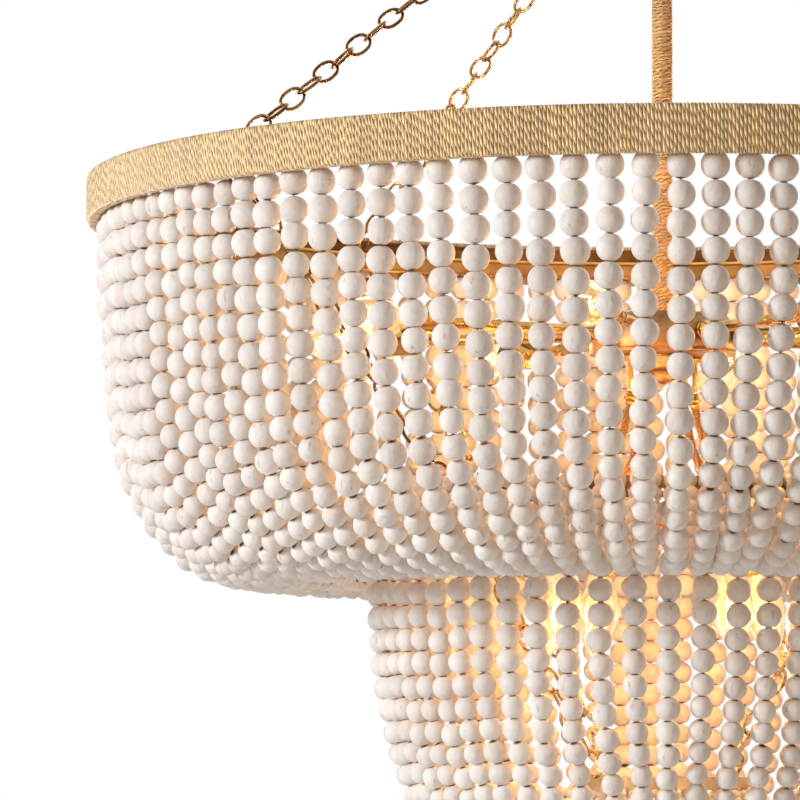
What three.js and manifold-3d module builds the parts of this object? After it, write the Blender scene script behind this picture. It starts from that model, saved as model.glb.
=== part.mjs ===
// A two-tier beaded chandelier that hangs from a ceiling plate on a hang-straight swivel.
// Millimetres, +Z up. The origin is the middle of the ceiling plate's top face, so all else lies below.
// Azimuth 0 looks at the viewer (-Y), and positive azimuths go towards +X.
import * as THREE from "three";
import { mergeVertices } from "three/addons/utils/BufferGeometryUtils.js";
import Module from "manifold-3d";

const wasm = await Module();
wasm.setup();

// General fits
const SEAT = 0.3; // the gap left where one piece rests on another
const OVERRUN = 2; // how far a cutting tool reaches past what it cuts

// Where things hang, measured down from the ceiling
const HOOP_DROP = 400; // the top edge of the wrapped hoop
const CHAIN_RING_DROP = 105; // the middle of the ring that the upper chains hook into
const SWIVEL_DROP = 18; // the crossing of the two swivel pins

// Directions of the repeated pieces, in degrees
const CHAIN_AZIMUTH = -45.5;
const ARM_AZIMUTH = -12;
const STRAND_AZIMUTH = 1.6;
const ARM_COUNT = 8;
const LOWER_ARM_COUNT = 4;
const LOWER_ARM_AZIMUTH = ARM_AZIMUTH - 360 / ARM_COUNT;

// Ceiling plate, screws and canopy
const PLATE = { length: 104, width: 18, thickness: 2.5 };
const SCREW = { radius: 2, headRadius: 4.5, headHeight: 3, spreadShare: 0.635 }; // of half the plate
const CANOPY = { radius: 65, depth: 28, wall: 1.5, mouth: 14, flat: 42, shoulder: 60, shoulderDepth: 19,
  skirt: 8, rim: 0.5 };

// Swivel: a yoke on the plate, a cross with two pins, and a fork on the stem
const CHEEK = { gap: 5.5, thickness: 3, half: 4.2, web: 3, past: 5 };
const PIN_RADIUS = 2.2;
const CROSS_HALF = 4;
const FORK_HALF = 3.4;
const FORK_REACH = 12; // from the pin down to the top of the fork's web

// Stem, its winding, the collar and the chain ring
const TUBE = { radius: 6.35, below: 24 };
const WRAP = { radius: 8.5, start: 12 };
const COLLAR = { wall: 3.7, height: 9 };
const CHAIN_RING = { play: 1.1, wall: 5.4, height: 5, lugLength: 5, lugWidth: 4 };

// Lamp hub
const HUB = { radius: 58, top: 104.5, height: 32.5, bevel: 7, wall: 2, drain: 6 };

// Candle bulbs: base radius, then the glass
const BULB = { base: 6.7, belly: 17.3, length: 70 };
const BULB_SHARES = [[0.05, 0.47], [0.2, 0.8], [0.42, 1], [0.62, 0.86], [0.8, 0.55], [0.95, 0.16]];
const SOCKET = { play: 0.7, depth: 24 };

// Upper lamps: collar, bar and cup of an arm, measured out from the hub's side
const ARM = { collar: 7.5, collarLength: 8, bar: 4.5, barLength: 134, taper: 8, cup: 12.5, cupLength: 35 };

// Lower lamps: a rod under the hub, a turned knob, a slanting conduit and a sleeve. The sleeve's drop is a
// share of the height from the hub to the bottom ring, and the conduit's drops are shares of the sleeve's.
const ROD = { out: 30.5, radius: 2.2, length: 31, knob: 5.5, knobLength: 10 };
const CONDUIT = { radius: 3.3, kneeOut: 44, kneeDropShare: 79 / 117, shoulderOut: 66,
  shoulderDropShare: 101 / 117 };
const SLEEVE = { out: 75, dropShare: 13 / 37, radius: 9.5, length: 56 };
const SLEEVE_TILT = 14; // degrees away from straight down, outwards

// Chains: one link's pitch, and half its width and thickness
const LINK = { pitch: 18.2, half: 7.4, wire: 1.35 };
const MIDDLE_CHAIN_HEAD = 24; // below the hoop's top edge
const MIDDLE_CHAIN_FOOT = 5; // below the middle ring's top edge
const LOWER_CHAIN_HEAD = 11;

// Rings, each by its outer radius, its wall and its height. The metal hoop fits inside the wound one.
const WOUND_HOOP = { radius: 457, wall: 10, height: 35.3, round: 3 };
const METAL_HOOP = { wall: 6.7, top: 4, height: 27, ridgeDrop: 12, ridgeDepth: 1.2, lip: 3 };
const MIDDLE_RING = { radius: 226, wall: 4, drop: 246, height: 16 };
const BOTTOM_RING = { radius: 71, wall: 2, drop: 470, height: 15 };

// Bead strands
const UPPER_STRANDS = 112;
const LOWER_STRANDS = 56;
const QUARTERS = 4;
const STRING_INSET = 6.5; // from the winding's inner face in to the upper strings
const STRING_BAR = 3.5; // the height of the strung edge along the top of a tier
const UPPER_BEAD = 20;
const LOWER_BEAD = 19;
const UPPER_BELLY = 316; // the lowest line of each tier, below the hoop's top edge
const LOWER_BELLY = 535;
const LOWER_STRING_DEPTH = 6; // front to back, where the lower strings hang on the ring
const UPPER_LAST_BEAD = 11;
const LOWER_LAST_BEAD = 6.5;
const SQUARE_SHARE = 0.8; // side of the square section that stands for a round bead
// How far out from the inner ring to the outer one, how far down to the belly, and the bead's share
const UPPER_SHARES = [[0.955, 0.41, 0.9], [0.874, 0.775, 0.8], [0.578, 0.993, 0.72], [0.178, 0.954, 0.62]];
const LOWER_SHARES = [
  [1, 0.055, 1], [0.992, 0.41, 1], [0.9, 0.69, 0.9], [0.61, 0.977, 0.74], [0.25, 0.972, 0.45],
];

// How many sides the round pieces have
const HOOP_SIDES = 48;
const CHAIN_TURN_SHARES = [0, 12 / 48, 24 / 48, 35 / 48]; // where a tier's chains hang, in shares of a turn
const RING_SIDES = 24;
const SMALL_SIDES = 12;
const THIN_SIDES = 8;
const CORNERS = 4;

const RIGHT = Math.PI / 2;
const radians = (degrees) => THREE.MathUtils.degToRad(degrees);
const below = (drop) => -HOOP_DROP - drop; // a height measured down from the hoop's top edge
const chainTurns = CHAIN_TURN_SHARES.map((share) => share * 360);

const model = new THREE.Group();

function finish(color, roughness, metalness) {
  return new THREE.MeshStandardMaterial({ color, roughness, metalness });
}

function add(name, geometry, material, parent = model) {
  const mesh = new THREE.Mesh(geometry, material);
  mesh.name = name;
  parent.add(mesh);
  return mesh;
}

// A group turned to one azimuth: inside it, straight out from the stem is -Y.
function spoke(azimuth) {
  const group = new THREE.Group();
  group.rotation.z = radians(azimuth);
  model.add(group);
  return group;
}

// The geometry with shared corners, no empty triangles, and its faces turned outwards.
function closed(geometry) {
  const bare = geometry.clone();
  bare.deleteAttribute("normal");
  bare.deleteAttribute("uv");
  const merged = mergeVertices(bare, 1e-4);
  const place = merged.attributes.position;
  const [a, b, c] = [new THREE.Vector3(), new THREE.Vector3(), new THREE.Vector3()];
  const kept = [];
  let volume = 0;
  for (let i = 0; i < merged.index.count; i += 3) {
    const [p, q, r] = [0, 1, 2].map((corner) => merged.index.getX(i + corner));
    if (p === q || q === r || r === p) continue;
    kept.push([p, q, r]);
    a.fromBufferAttribute(place, p);
    b.fromBufferAttribute(place, q);
    c.fromBufferAttribute(place, r);
    volume += a.dot(b.cross(c));
  }
  if (volume < 0) kept.forEach((triangle) => triangle.reverse());
  merged.setIndex(kept.flat());
  return merged;
}

function fromTriangles(points, triangles) {
  const geometry = new THREE.BufferGeometry();
  geometry.setAttribute("position", new THREE.Float32BufferAttribute(points.flat(), 3));
  geometry.setIndex(triangles.flat());
  return closed(geometry);
}

// A shape turned round the Z axis, from points of radius and height.
function turned(outline, sides, azimuth = 0) {
  const points = outline.map(([radius, height]) => new THREE.Vector2(radius, height));
  return closed(new THREE.LatheGeometry(points, sides, radians(azimuth)).rotateX(RIGHT));
}

// A ring turned round the Z axis: the outline closes on itself.
function turnedRing(outline, sides, azimuth = 0) {
  return turned([...outline, outline[0]], sides, azimuth);
}

function toManifold(geometry) {
  const bare = closed(geometry);
  return new wasm.Manifold(new wasm.Mesh({
    numProp: 3,
    vertProperties: new Float32Array(bare.attributes.position.array),
    triVerts: new Uint32Array(bare.index.array),
  }));
}

function fromManifold(solid) {
  const mesh = solid.getMesh();
  const geometry = new THREE.BufferGeometry();
  geometry.setAttribute("position", new THREE.BufferAttribute(mesh.vertProperties, 3));
  geometry.setIndex(new THREE.BufferAttribute(mesh.triVerts, 1));
  return geometry;
}

function joined(...geometries) {
  return fromManifold(geometries.map(toManifold).reduce((all, one) => all.add(one)));
}

function cut(geometry, ...tools) {
  const cutters = tools.map(toManifold);
  return fromManifold(cutters.reduce((left, tool) => left.subtract(tool), toManifold(geometry)));
}

function cylinder(radius, length, sides) {
  return new THREE.CylinderGeometry(radius, radius, length, sides).rotateX(RIGHT);
}

// A tube through stations in the plane of a spoke. Each station has how far out and how high it is,
// and half the tube's width across the plane and within it. An end that meets a face has that face's
// direction as its own.
function spokeTube(stations, sides) {
  const last = stations.length - 1;
  const points = [];
  const triangles = [];
  stations.forEach(({ out, height, across, within, facing }, k) => {
    const before = stations[Math.max(k - 1, 0)];
    const after = stations[Math.min(k + 1, last)];
    const step = new THREE.Vector2(after.out - before.out, after.height - before.height);
    const along = facing ?? step.normalize();
    for (let side = 0; side < sides; side++) {
      const angle = (side / sides) * 2 * Math.PI;
      const inPlane = within * Math.sin(angle);
      points.push([across * Math.cos(angle), -(out - along.y * inPlane), height + along.x * inPlane]);
    }
  });
  for (let k = 0; k < last; k++)
    for (let side = 0; side < sides; side++) {
      const next = (side + 1) % sides;
      const [a, b] = [k * sides + side, k * sides + next];
      triangles.push([a, b, b + sides], [a, b + sides, a + sides]);
    }
  for (let side = 1; side < sides - 1; side++) {
    triangles.push([0, side + 1, side]);
    triangles.push([last * sides, last * sides + side, last * sides + side + 1]);
  }
  return fromTriangles(points, triangles);
}

const brass = () => finish(0xb98a45, 0.35, 0.9);
const bronze = () => finish(0x4a3a28, 0.45, 0.85);
const cord = () => finish(0xd9b98a, 0.9, 0);
const beads = () => finish(0xe6ddd0, 0.8, 0);
const glass = () => finish(0xf4efe2, 0.08, 0);
const steel = () => finish(0x9a9a98, 0.4, 0.9);

// Ceiling plate: a flat bar with two screw holes
const screwSpread = (PLATE.length / 2) * SCREW.spreadShare;
const screwPlaces = [-screwSpread, screwSpread];

function ceilingPlate() {
  const outline = new THREE.Shape();
  const [halfLength, halfWidth] = [PLATE.length / 2, PLATE.width / 2];
  outline.moveTo(-halfLength, -halfWidth);
  outline.lineTo(halfLength, -halfWidth);
  outline.lineTo(halfLength, halfWidth);
  outline.lineTo(-halfLength, halfWidth);
  for (const x of screwPlaces) {
    const hole = new THREE.Path();
    hole.absarc(x, 0, SCREW.radius + SEAT, 0, 2 * Math.PI, true);
    outline.holes.push(hole);
  }
  const options = { depth: PLATE.thickness, bevelEnabled: false, curveSegments: THIN_SIDES / 2 };
  return closed(new THREE.ExtrudeGeometry(outline, options).translate(0, 0, -PLATE.thickness));
}
add("ceiling_bracket", ceilingPlate(), steel());

// Canopy: a shallow dish with a mouth for the stem and two screw holes
function canopy() {
  const { radius, depth, wall, mouth, flat, shoulder, shoulderDepth, skirt, rim } = CANOPY;
  const dish = turnedRing([
    [mouth, -depth], [flat, -depth], [shoulder, -shoulderDepth], [radius, -skirt], [radius, -rim],
    [radius - wall, -rim], [radius - wall, -skirt], [shoulder - wall, -shoulderDepth + wall],
    [flat, -depth + wall], [mouth, -depth + wall],
  ], RING_SIDES);
  const hole = cylinder(SCREW.radius + SEAT, depth, THIN_SIDES);
  return cut(dish, ...screwPlaces.map((x) => hole.clone().translate(x, 0, -depth)));
}
add("canopy", canopy(), brass());

function canopyScrew() {
  const head = -CANOPY.depth - SEAT;
  return turned([
    [0, head - SCREW.headHeight], [SCREW.headRadius, head - SCREW.headHeight / 2],
    [SCREW.headRadius, head], [SCREW.radius, head], [SCREW.radius, -SEAT], [0, -SEAT],
  ], THIN_SIDES);
}
screwPlaces.forEach((x, i) => {
  add(`canopy_screw_${i + 1}`, canopyScrew(), brass()).position.x = x;
});

// Swivel: a web with two cheeks, drawn with its web on top and its cheeks along Y, and a pin hole along X
function clevis(half, reach) {
  const outside = CHEEK.gap + CHEEK.thickness;
  const top = reach + CHEEK.web;
  const outline = new THREE.Shape();
  outline.moveTo(-outside, top);
  outline.lineTo(-outside, -CHEEK.past);
  outline.lineTo(-CHEEK.gap, -CHEEK.past);
  outline.lineTo(-CHEEK.gap, reach);
  outline.lineTo(CHEEK.gap, reach);
  outline.lineTo(CHEEK.gap, -CHEEK.past);
  outline.lineTo(outside, -CHEEK.past);
  outline.lineTo(outside, top);
  const body = new THREE.ExtrudeGeometry(outline, { depth: 2 * half, bevelEnabled: false });
  body.translate(0, 0, -half).rotateX(RIGHT);
  const hole = cylinder(PIN_RADIUS + SEAT, 2 * (outside + OVERRUN), THIN_SIDES).rotateY(RIGHT);
  return cut(body, hole);
}
const yokeReach = SWIVEL_DROP - PLATE.thickness - SEAT - CHEEK.web;
add("swivel_yoke", clevis(CHEEK.half, yokeReach), steel()).position.z = -SWIVEL_DROP;

const fork = add("swivel_fork", clevis(FORK_HALF, FORK_REACH), brass());
fork.position.z = -SWIVEL_DROP;
fork.rotation.set(Math.PI, 0, RIGHT);

function swivelCross() {
  const pinLength = 2 * (CHEEK.gap + CHEEK.thickness);
  const pin = cylinder(PIN_RADIUS, pinLength, THIN_SIDES);
  const block = new THREE.BoxGeometry(2 * CROSS_HALF, 2 * CROSS_HALF, 2 * CROSS_HALF);
  return joined(block, pin.clone().rotateX(RIGHT), pin.clone().rotateY(RIGHT));
}
add("swivel_cross", swivelCross(), steel()).position.z = -SWIVEL_DROP;

// Stem tube, from under the fork into the hub, and the cord wound round it
const forkFoot = -SWIVEL_DROP - FORK_REACH - CHEEK.web;
const tubeTop = forkFoot - SEAT;
const tubeFoot = below(HUB.top + TUBE.below);
const wrapTop = tubeTop - WRAP.start;
const wrapFoot = below(HUB.top) + SEAT;
const tube = add("stem_tube", cylinder(TUBE.radius, tubeTop - tubeFoot, SMALL_SIDES), brass());
tube.position.z = (tubeTop + tubeFoot) / 2;

const wrapBore = TUBE.radius + SEAT;
add("stem_wrap", turnedRing([
  [wrapBore, wrapFoot], [WRAP.radius, wrapFoot], [WRAP.radius, wrapTop], [wrapBore, wrapTop],
], SMALL_SIDES), cord());

// Collar clamped on the winding, and the chain ring that turns on top of it
const ringFoot = -CHAIN_RING_DROP - CHAIN_RING.height / 2;
const collarTop = ringFoot - SEAT;
const collarBore = WRAP.radius + SEAT;
const collarEdge = collarBore + COLLAR.wall;
add("chain_collar", turnedRing([
  [collarBore, collarTop - COLLAR.height], [collarBore + COLLAR.wall / 2, collarTop - COLLAR.height],
  [collarEdge, collarTop - COLLAR.height / 2], [collarEdge, collarTop], [collarBore, collarTop],
], SMALL_SIDES), brass());
const lugReach = WRAP.radius + CHAIN_RING.play + CHAIN_RING.wall + CHAIN_RING.lugLength;

function chainRing() {
  const { play, wall, height, lugWidth } = CHAIN_RING;
  const half = height / 2;
  const bore = WRAP.radius + play;
  const radius = bore + wall;
  const section = [[bore, -half], [radius, -half], [radius, half], [bore, half]];
  const hoop = turnedRing(section, RING_SIDES, CHAIN_AZIMUTH);
  const lugStart = (bore + radius) / 2;
  const lug = new THREE.BoxGeometry(lugWidth, lugReach - lugStart, height / 2);
  lug.translate(0, -(lugReach + lugStart) / 2, 0).rotateZ(radians(CHAIN_AZIMUTH));
  const lugs = chainTurns.map((turn) => lug.clone().rotateZ(radians(turn)));
  return joined(hoop, ...lugs);
}
add("chain_ring", chainRing(), bronze()).position.z = -CHAIN_RING_DROP;

// Lamp hub: a bevelled drum of sheet brass, open at its middle above and below
function lampHub() {
  const { radius, top, height, bevel, wall, drain } = HUB;
  const hole = TUBE.radius + SEAT;
  const [head, foot] = [below(top), below(top + height)];
  return turnedRing([
    [hole, head], [radius - bevel, head], [radius, head - bevel], [radius, foot], [drain, foot],
    [drain, foot + wall], [radius - wall, foot + wall], [radius - wall, head - bevel - wall / 2],
    [radius - bevel - wall / 2, head - wall], [hole, head - wall],
  ], RING_SIDES, ARM_AZIMUTH);
}
add("lamp_hub", lampHub(), brass());

// Bulb: the base goes down from zero and the glass goes up
function bulb() {
  const baseLength = SOCKET.depth - SEAT;
  const glassPoints = BULB_SHARES.map(([along, wide]) => [wide * BULB.belly, along * BULB.length]);
  return turned([
    [0, -baseLength], [BULB.base, -baseLength], [BULB.base, 0], ...glassPoints, [0, BULB.length],
  ], THIN_SIDES);
}

// Upper lamp arm, drawn along Z from the hub's side
const armStart = HUB.radius + SEAT;
const barEnd = armStart + ARM.collarLength + ARM.barLength;
const cupEnd = barEnd + ARM.cupLength;
const socketBore = BULB.base + SOCKET.play;

function lampArm() {
  const { collar, collarLength, bar, taper, cup } = ARM;
  return turned([
    [0, armStart], [collar, armStart], [collar, armStart + collarLength], [bar, armStart + collarLength],
    [bar, barEnd - taper], [cup, barEnd], [cup, cupEnd], [socketBore, cupEnd],
    [socketBore, cupEnd - SOCKET.depth], [0, cupEnd - SOCKET.depth],
  ], THIN_SIDES);
}
for (let i = 0; i < ARM_COUNT; i++) {
  const group = spoke(ARM_AZIMUTH + (i * 360) / ARM_COUNT);
  group.position.z = below(HUB.top + HUB.height / 2);
  add(`lamp_arm_${i + 1}`, lampArm(), brass(), group).rotation.x = RIGHT;
  const lamp = add(`arm_bulb_${i + 1}`, bulb(), glass(), group);
  lamp.rotation.x = RIGHT;
  lamp.position.y = -cupEnd;
}

// Lower lamp arm: rod, knob and conduit, drawn in the plane of its spoke, with the sleeve joined on
const tilt = radians(SLEEVE_TILT);
const hubFoot = below(HUB.top + HUB.height);
const rodTop = hubFoot - SEAT;
const sleeveDrop = (hubFoot - below(BOTTOM_RING.drop)) * SLEEVE.dropShare;
const sleeveTop = hubFoot - sleeveDrop;

function lowerLampArm() {
  const round = (out, height, radius) => ({ out, height, across: radius, within: radius });
  const knobTop = rodTop - ROD.length;
  const knobMiddle = knobTop - ROD.knobLength / 2;
  const knobFoot = knobTop - ROD.knobLength;
  const conduit = spokeTube([
    round(ROD.out, rodTop, ROD.radius), round(ROD.out, knobTop, ROD.radius),
    round(ROD.out, knobMiddle, ROD.knob), round(ROD.out, knobFoot, CONDUIT.radius),
    round(CONDUIT.kneeOut, hubFoot - sleeveDrop * CONDUIT.kneeDropShare, CONDUIT.radius),
    round(CONDUIT.shoulderOut, hubFoot - sleeveDrop * CONDUIT.shoulderDropShare, CONDUIT.radius),
    round(SLEEVE.out, sleeveTop, CONDUIT.radius),
  ], THIN_SIDES);
  const { radius, length } = SLEEVE;
  const sleeve = turned([
    [0, -CONDUIT.radius], [CONDUIT.radius, -CONDUIT.radius], [radius, CONDUIT.radius], [radius, length],
    [socketBore, length], [socketBore, length - SOCKET.depth], [0, length - SOCKET.depth],
  ], THIN_SIDES);
  sleeve.rotateX(Math.PI - tilt).translate(0, -SLEEVE.out, sleeveTop);
  return joined(conduit, sleeve);
}
for (let i = 0; i < LOWER_ARM_COUNT; i++) {
  const group = spoke(LOWER_ARM_AZIMUTH + (i * 360) / LOWER_ARM_COUNT);
  add(`lower_lamp_arm_${i + 1}`, lowerLampArm(), brass(), group);
  const lamp = add(`lower_bulb_${i + 1}`, bulb(), glass(), group);
  lamp.rotation.x = Math.PI - tilt;
  lamp.position.y = -SLEEVE.out - SLEEVE.length * Math.sin(tilt);
  lamp.position.z = sleeveTop - SLEEVE.length * Math.cos(tilt);
}

// The wound hoop and the metal hoop inside it
const windingInner = WOUND_HOOP.radius - WOUND_HOOP.wall;
const metalOuter = windingInner - SEAT;
const metalInner = metalOuter - METAL_HOOP.wall;
const grooveInner = metalInner + METAL_HOOP.ridgeDepth; // the inside face between the hoop's two edges

function woundHoop() {
  const { radius, height, round } = WOUND_HOOP;
  const [head, foot] = [below(0), below(height)];
  return turnedRing([
    [windingInner, foot], [radius - round, foot], [radius, foot + round], [radius, head - round],
    [radius - round, head], [windingInner, head],
  ], HOOP_SIDES, CHAIN_AZIMUTH);
}
add("hoop_wrap", woundHoop(), cord());

function metalHoop() {
  const { top, height, ridgeDrop, lip } = METAL_HOOP;
  const [head, foot] = [below(top), below(top + height)];
  return turnedRing([
    [metalInner, foot], [metalOuter, foot], [metalOuter, head], [metalInner, head],
    [grooveInner, head - ridgeDrop], [grooveInner, foot + lip],
  ], HOOP_SIDES, CHAIN_AZIMUTH);
}
add("top_hoop", metalHoop(), brass());

function bandRing({ radius, wall, drop, height }, sides) {
  const [head, foot] = [below(drop), below(drop + height)];
  return turnedRing([[radius - wall, foot], [radius, foot], [radius, head], [radius - wall, head]],
    sides, CHAIN_AZIMUTH);
}
add("middle_ring", bandRing(MIDDLE_RING, HOOP_SIDES), brass());
add("bottom_ring", bandRing(BOTTOM_RING, RING_SIDES), brass());

// A chain is a bar whose links lie flat and on edge by turns. It starts and ends as thin as its wire.
function chain(from, to) {
  const length = Math.hypot(to.out - from.out, to.height - from.height);
  const links = Math.round(length / LINK.pitch);
  const stations = [];
  for (let k = 0; k <= links; k++) {
    const end = k === 0 || k === links;
    const flat = k % 2 === 1;
    stations.push({
      out: from.out + ((to.out - from.out) * k) / links,
      height: from.height + ((to.height - from.height) * k) / links,
      across: !end && flat ? LINK.half : LINK.wire,
      within: !end && !flat ? LINK.half : LINK.wire,
    });
  }
  stations[0].facing = from.facing;
  stations[links].facing = to.facing;
  return spokeTube(stations, CORNERS);
}

// Seats of the chains' ends on the chain ring, the hoop and the two rings
const outwards = new THREE.Vector2(1, 0);
const inwards = new THREE.Vector2(-1, 0);
const downwards = new THREE.Vector2(0, -1);
const insideHoop = grooveInner - SEAT;
const onLug = { out: lugReach + SEAT, height: -CHAIN_RING_DROP, facing: outwards };
const hoopHigh = { out: insideHoop, height: below(METAL_HOOP.top + METAL_HOOP.ridgeDrop), facing: outwards };
const hoopLow = { out: insideHoop, height: below(MIDDLE_CHAIN_HEAD), facing: inwards };
const middleOutside = {
  out: MIDDLE_RING.radius + SEAT, height: below(MIDDLE_RING.drop + MIDDLE_CHAIN_FOOT), facing: inwards,
};
const middleInside = {
  out: MIDDLE_RING.radius - MIDDLE_RING.wall - SEAT, height: below(MIDDLE_RING.drop + LOWER_CHAIN_HEAD),
  facing: inwards,
};
const bottomTop = {
  out: BOTTOM_RING.radius - BOTTOM_RING.wall / 2, height: below(BOTTOM_RING.drop) + SEAT, facing: downwards,
};
chainTurns.forEach((turn, i) => {
  const group = spoke(CHAIN_AZIMUTH + turn);
  add(`upper_chain_${i + 1}`, chain(onLug, hoopHigh), bronze(), group);
  add(`middle_chain_${i + 1}`, chain(hoopLow, middleOutside), bronze(), group);
  add(`lower_chain_${i + 1}`, chain(middleInside, bottomTop), brass(), group);
});

// A quarter of a tier: square strands side by side, strung on one thin bar along their tops.
// The outline goes down the outside. Each point has how far out, how high, and half its width and depth.
function strandQuarter(outline, count, pitch) {
  const last = outline.length - 1;
  const corners = [[1, 1], [-1, 1], [-1, -1], [1, -1]]; // sideways and outwards
  const points = [];
  const triangles = [];
  const corner = (strand, level, k) => (strand * outline.length + level) * CORNERS + (k % CORNERS);
  const quad = (a, b, c, d) => triangles.push([a, b, c], [a, c, d]);
  for (let strand = 0; strand < count; strand++) {
    const azimuth = radians(strand * pitch);
    const [sine, cosine] = [Math.sin(azimuth), Math.cos(azimuth)];
    outline.forEach(({ out, height, half, deep, flat }, level) => {
      const before = outline[Math.max(level - 1, 0)];
      const after = outline[Math.min(level + 1, last)];
      const along = new THREE.Vector2(after.out - before.out, after.height - before.height).normalize();
      if (flat) along.set(0, flat);
      for (const [side, outwards] of corners) {
        const radius = out - along.y * outwards * deep;
        const sideways = side * half;
        points.push([radius * sine + sideways * cosine, -radius * cosine + sideways * sine,
          height + along.x * outwards * deep]);
      }
    });
    const [first, end] = [strand === 0, strand === count - 1];
    for (let level = 0; level < last; level++)
      for (let k = 0; k < CORNERS; k++) {
        const strung = level === 0 && ((k === 3 && !end) || (k === 1 && !first));
        if (strung) continue;
        quad(corner(strand, level, k), corner(strand, level, k + 1),
          corner(strand, level + 1, k + 1), corner(strand, level + 1, k));
      }
    quad(...[3, 2, 1, 0].map((k) => corner(strand, 0, k)));
    quad(...[0, 1, 2, 3].map((k) => corner(strand, last, k)));
    if (end) continue;
    const [mine, next] = [strand, strand + 1];
    quad(corner(mine, 0, 3), corner(mine, 0, 0), corner(next, 0, 1), corner(next, 0, 2));
    quad(corner(mine, 0, 0), corner(mine, 1, 0), corner(next, 1, 1), corner(next, 0, 1));
    quad(corner(mine, 1, 0), corner(mine, 1, 3), corner(next, 1, 2), corner(next, 1, 1));
    quad(corner(mine, 1, 3), corner(mine, 0, 3), corner(next, 0, 2), corner(next, 1, 2));
  }
  return fromTriangles(points, triangles);
}

function tierOutline({ shares, top, belly, outer, inner, bead, stringDepth, end }) {
  const halfSquare = (width) => (width * SQUARE_SHARE) / 2;
  const rail = { out: outer, half: halfSquare(bead), deep: stringDepth / 2, flat: -1 };
  const middle = shares.map(([outShare, dropShare, beadShare]) => ({
    out: inner + outShare * (outer - inner),
    height: below(top + dropShare * (belly - top)),
    half: halfSquare(bead * beadShare),
    deep: halfSquare(bead * beadShare),
  }));
  return [
    { ...rail, height: below(top) },
    { ...rail, height: below(top + STRING_BAR) },
    ...middle,
    { out: end.out, height: end.height, half: halfSquare(end.bead), deep: halfSquare(end.bead), flat: 1 },
  ];
}

function strandEnd(ring, bead) {
  return {
    out: ring.radius + SEAT + (bead * SQUARE_SHARE) / 2, height: below(ring.drop + ring.height / 2), bead,
  };
}
const upperEnd = strandEnd(MIDDLE_RING, UPPER_LAST_BEAD);
const lowerEnd = strandEnd(BOTTOM_RING, LOWER_LAST_BEAD);
const upperOutline = tierOutline({
  shares: UPPER_SHARES, top: WOUND_HOOP.height + SEAT, belly: UPPER_BELLY, outer: windingInner - STRING_INSET,
  inner: upperEnd.out, bead: UPPER_BEAD, stringDepth: UPPER_BEAD * SQUARE_SHARE, end: upperEnd,
});
const lowerOutline = tierOutline({
  shares: LOWER_SHARES, top: MIDDLE_RING.drop + MIDDLE_RING.height + SEAT, belly: LOWER_BELLY,
  outer: MIDDLE_RING.radius - MIDDLE_RING.wall / 2 - SEAT, inner: lowerEnd.out, bead: LOWER_BEAD,
  stringDepth: LOWER_STRING_DEPTH, end: lowerEnd,
});
for (let i = 0; i < QUARTERS; i++) {
  const group = spoke(STRAND_AZIMUTH + (i * 360) / QUARTERS);
  const upper = strandQuarter(upperOutline, UPPER_STRANDS / QUARTERS, 360 / UPPER_STRANDS);
  add(`upper_strands_${i + 1}`, upper, beads(), group);
  const lower = strandQuarter(lowerOutline, LOWER_STRANDS / QUARTERS, 360 / LOWER_STRANDS);
  add(`lower_strands_${i + 1}`, lower, beads(), group);
}

export default model;
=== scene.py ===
# %% [markdown]
# A two-tier beaded chandelier
#
# A wide hoop wound with cord hangs on four chains from a cord-wound stem. Strings of white-washed wooden
# beads run from the hoop down, under and up to a middle ring, and a smaller tier hangs from there. Inside,
# a brass hub carries eight arms and four lower lamps, all with clear candle bulbs.
#
# The CAD model gives the frame: every finished piece below sits where a CAD node sits and rides on the
# same body. Lengths are in millimetres, and `MM` turns them into metres. Azimuth 0 looks at the viewer
# (-Y), positive azimuths go towards +X, and +Z is up. A drop is measured down from the hoop's top edge.

# %% Load the frame
import math

import bmesh
import bpy
import numpy as np
from mathutils import Matrix, Vector


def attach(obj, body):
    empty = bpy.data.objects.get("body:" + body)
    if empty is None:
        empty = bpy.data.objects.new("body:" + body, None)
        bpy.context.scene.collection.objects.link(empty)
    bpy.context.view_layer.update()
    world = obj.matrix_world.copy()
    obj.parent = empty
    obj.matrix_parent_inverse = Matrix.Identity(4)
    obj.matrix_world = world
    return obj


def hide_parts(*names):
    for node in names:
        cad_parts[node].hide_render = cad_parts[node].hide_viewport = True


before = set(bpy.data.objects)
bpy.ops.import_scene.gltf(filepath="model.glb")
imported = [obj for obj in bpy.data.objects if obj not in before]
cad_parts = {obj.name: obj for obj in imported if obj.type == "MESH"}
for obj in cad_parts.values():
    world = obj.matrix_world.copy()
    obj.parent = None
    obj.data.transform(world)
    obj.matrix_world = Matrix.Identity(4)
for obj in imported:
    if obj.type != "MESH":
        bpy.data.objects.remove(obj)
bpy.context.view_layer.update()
MM = 0.001
HOOP = -400  # the height of the hoop's top edge


def below(drop):
    """The height of a drop below the hoop's top edge."""
    return HOOP - drop


def outward(azimuth):
    """The direction straight out from the stem at an azimuth in degrees."""
    angle = math.radians(azimuth)
    return Vector((math.sin(angle), -math.cos(angle), 0))


def at(azimuth, out, height):
    """The point at an azimuth, so far out and so high, in millimetres."""
    return outward(azimuth) * out + Vector((0, 0, height))


# %% [markdown]
# The camera
#
# The photograph is a close crop of a chandelier seen from a little below. A camera can be placed by eye,
# but then each piece has to be nudged to match. Here it was worked out instead: fitting the hoop's ellipse
# and the rows of beads gave its place, three small angles in radians and the focal length in pixels. With
# that, a piece that is right in millimetres is right in the picture too.

# %% Camera
CAMERA_PLACE = Vector((0, -3.592, -0.8528))
YAW, PITCH, ROLL = -0.0580, 0.0779, 0.0030
FOCAL_PIXELS, FRAME_PIXELS, SENSOR = 4538.9, 800, 36.0

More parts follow.
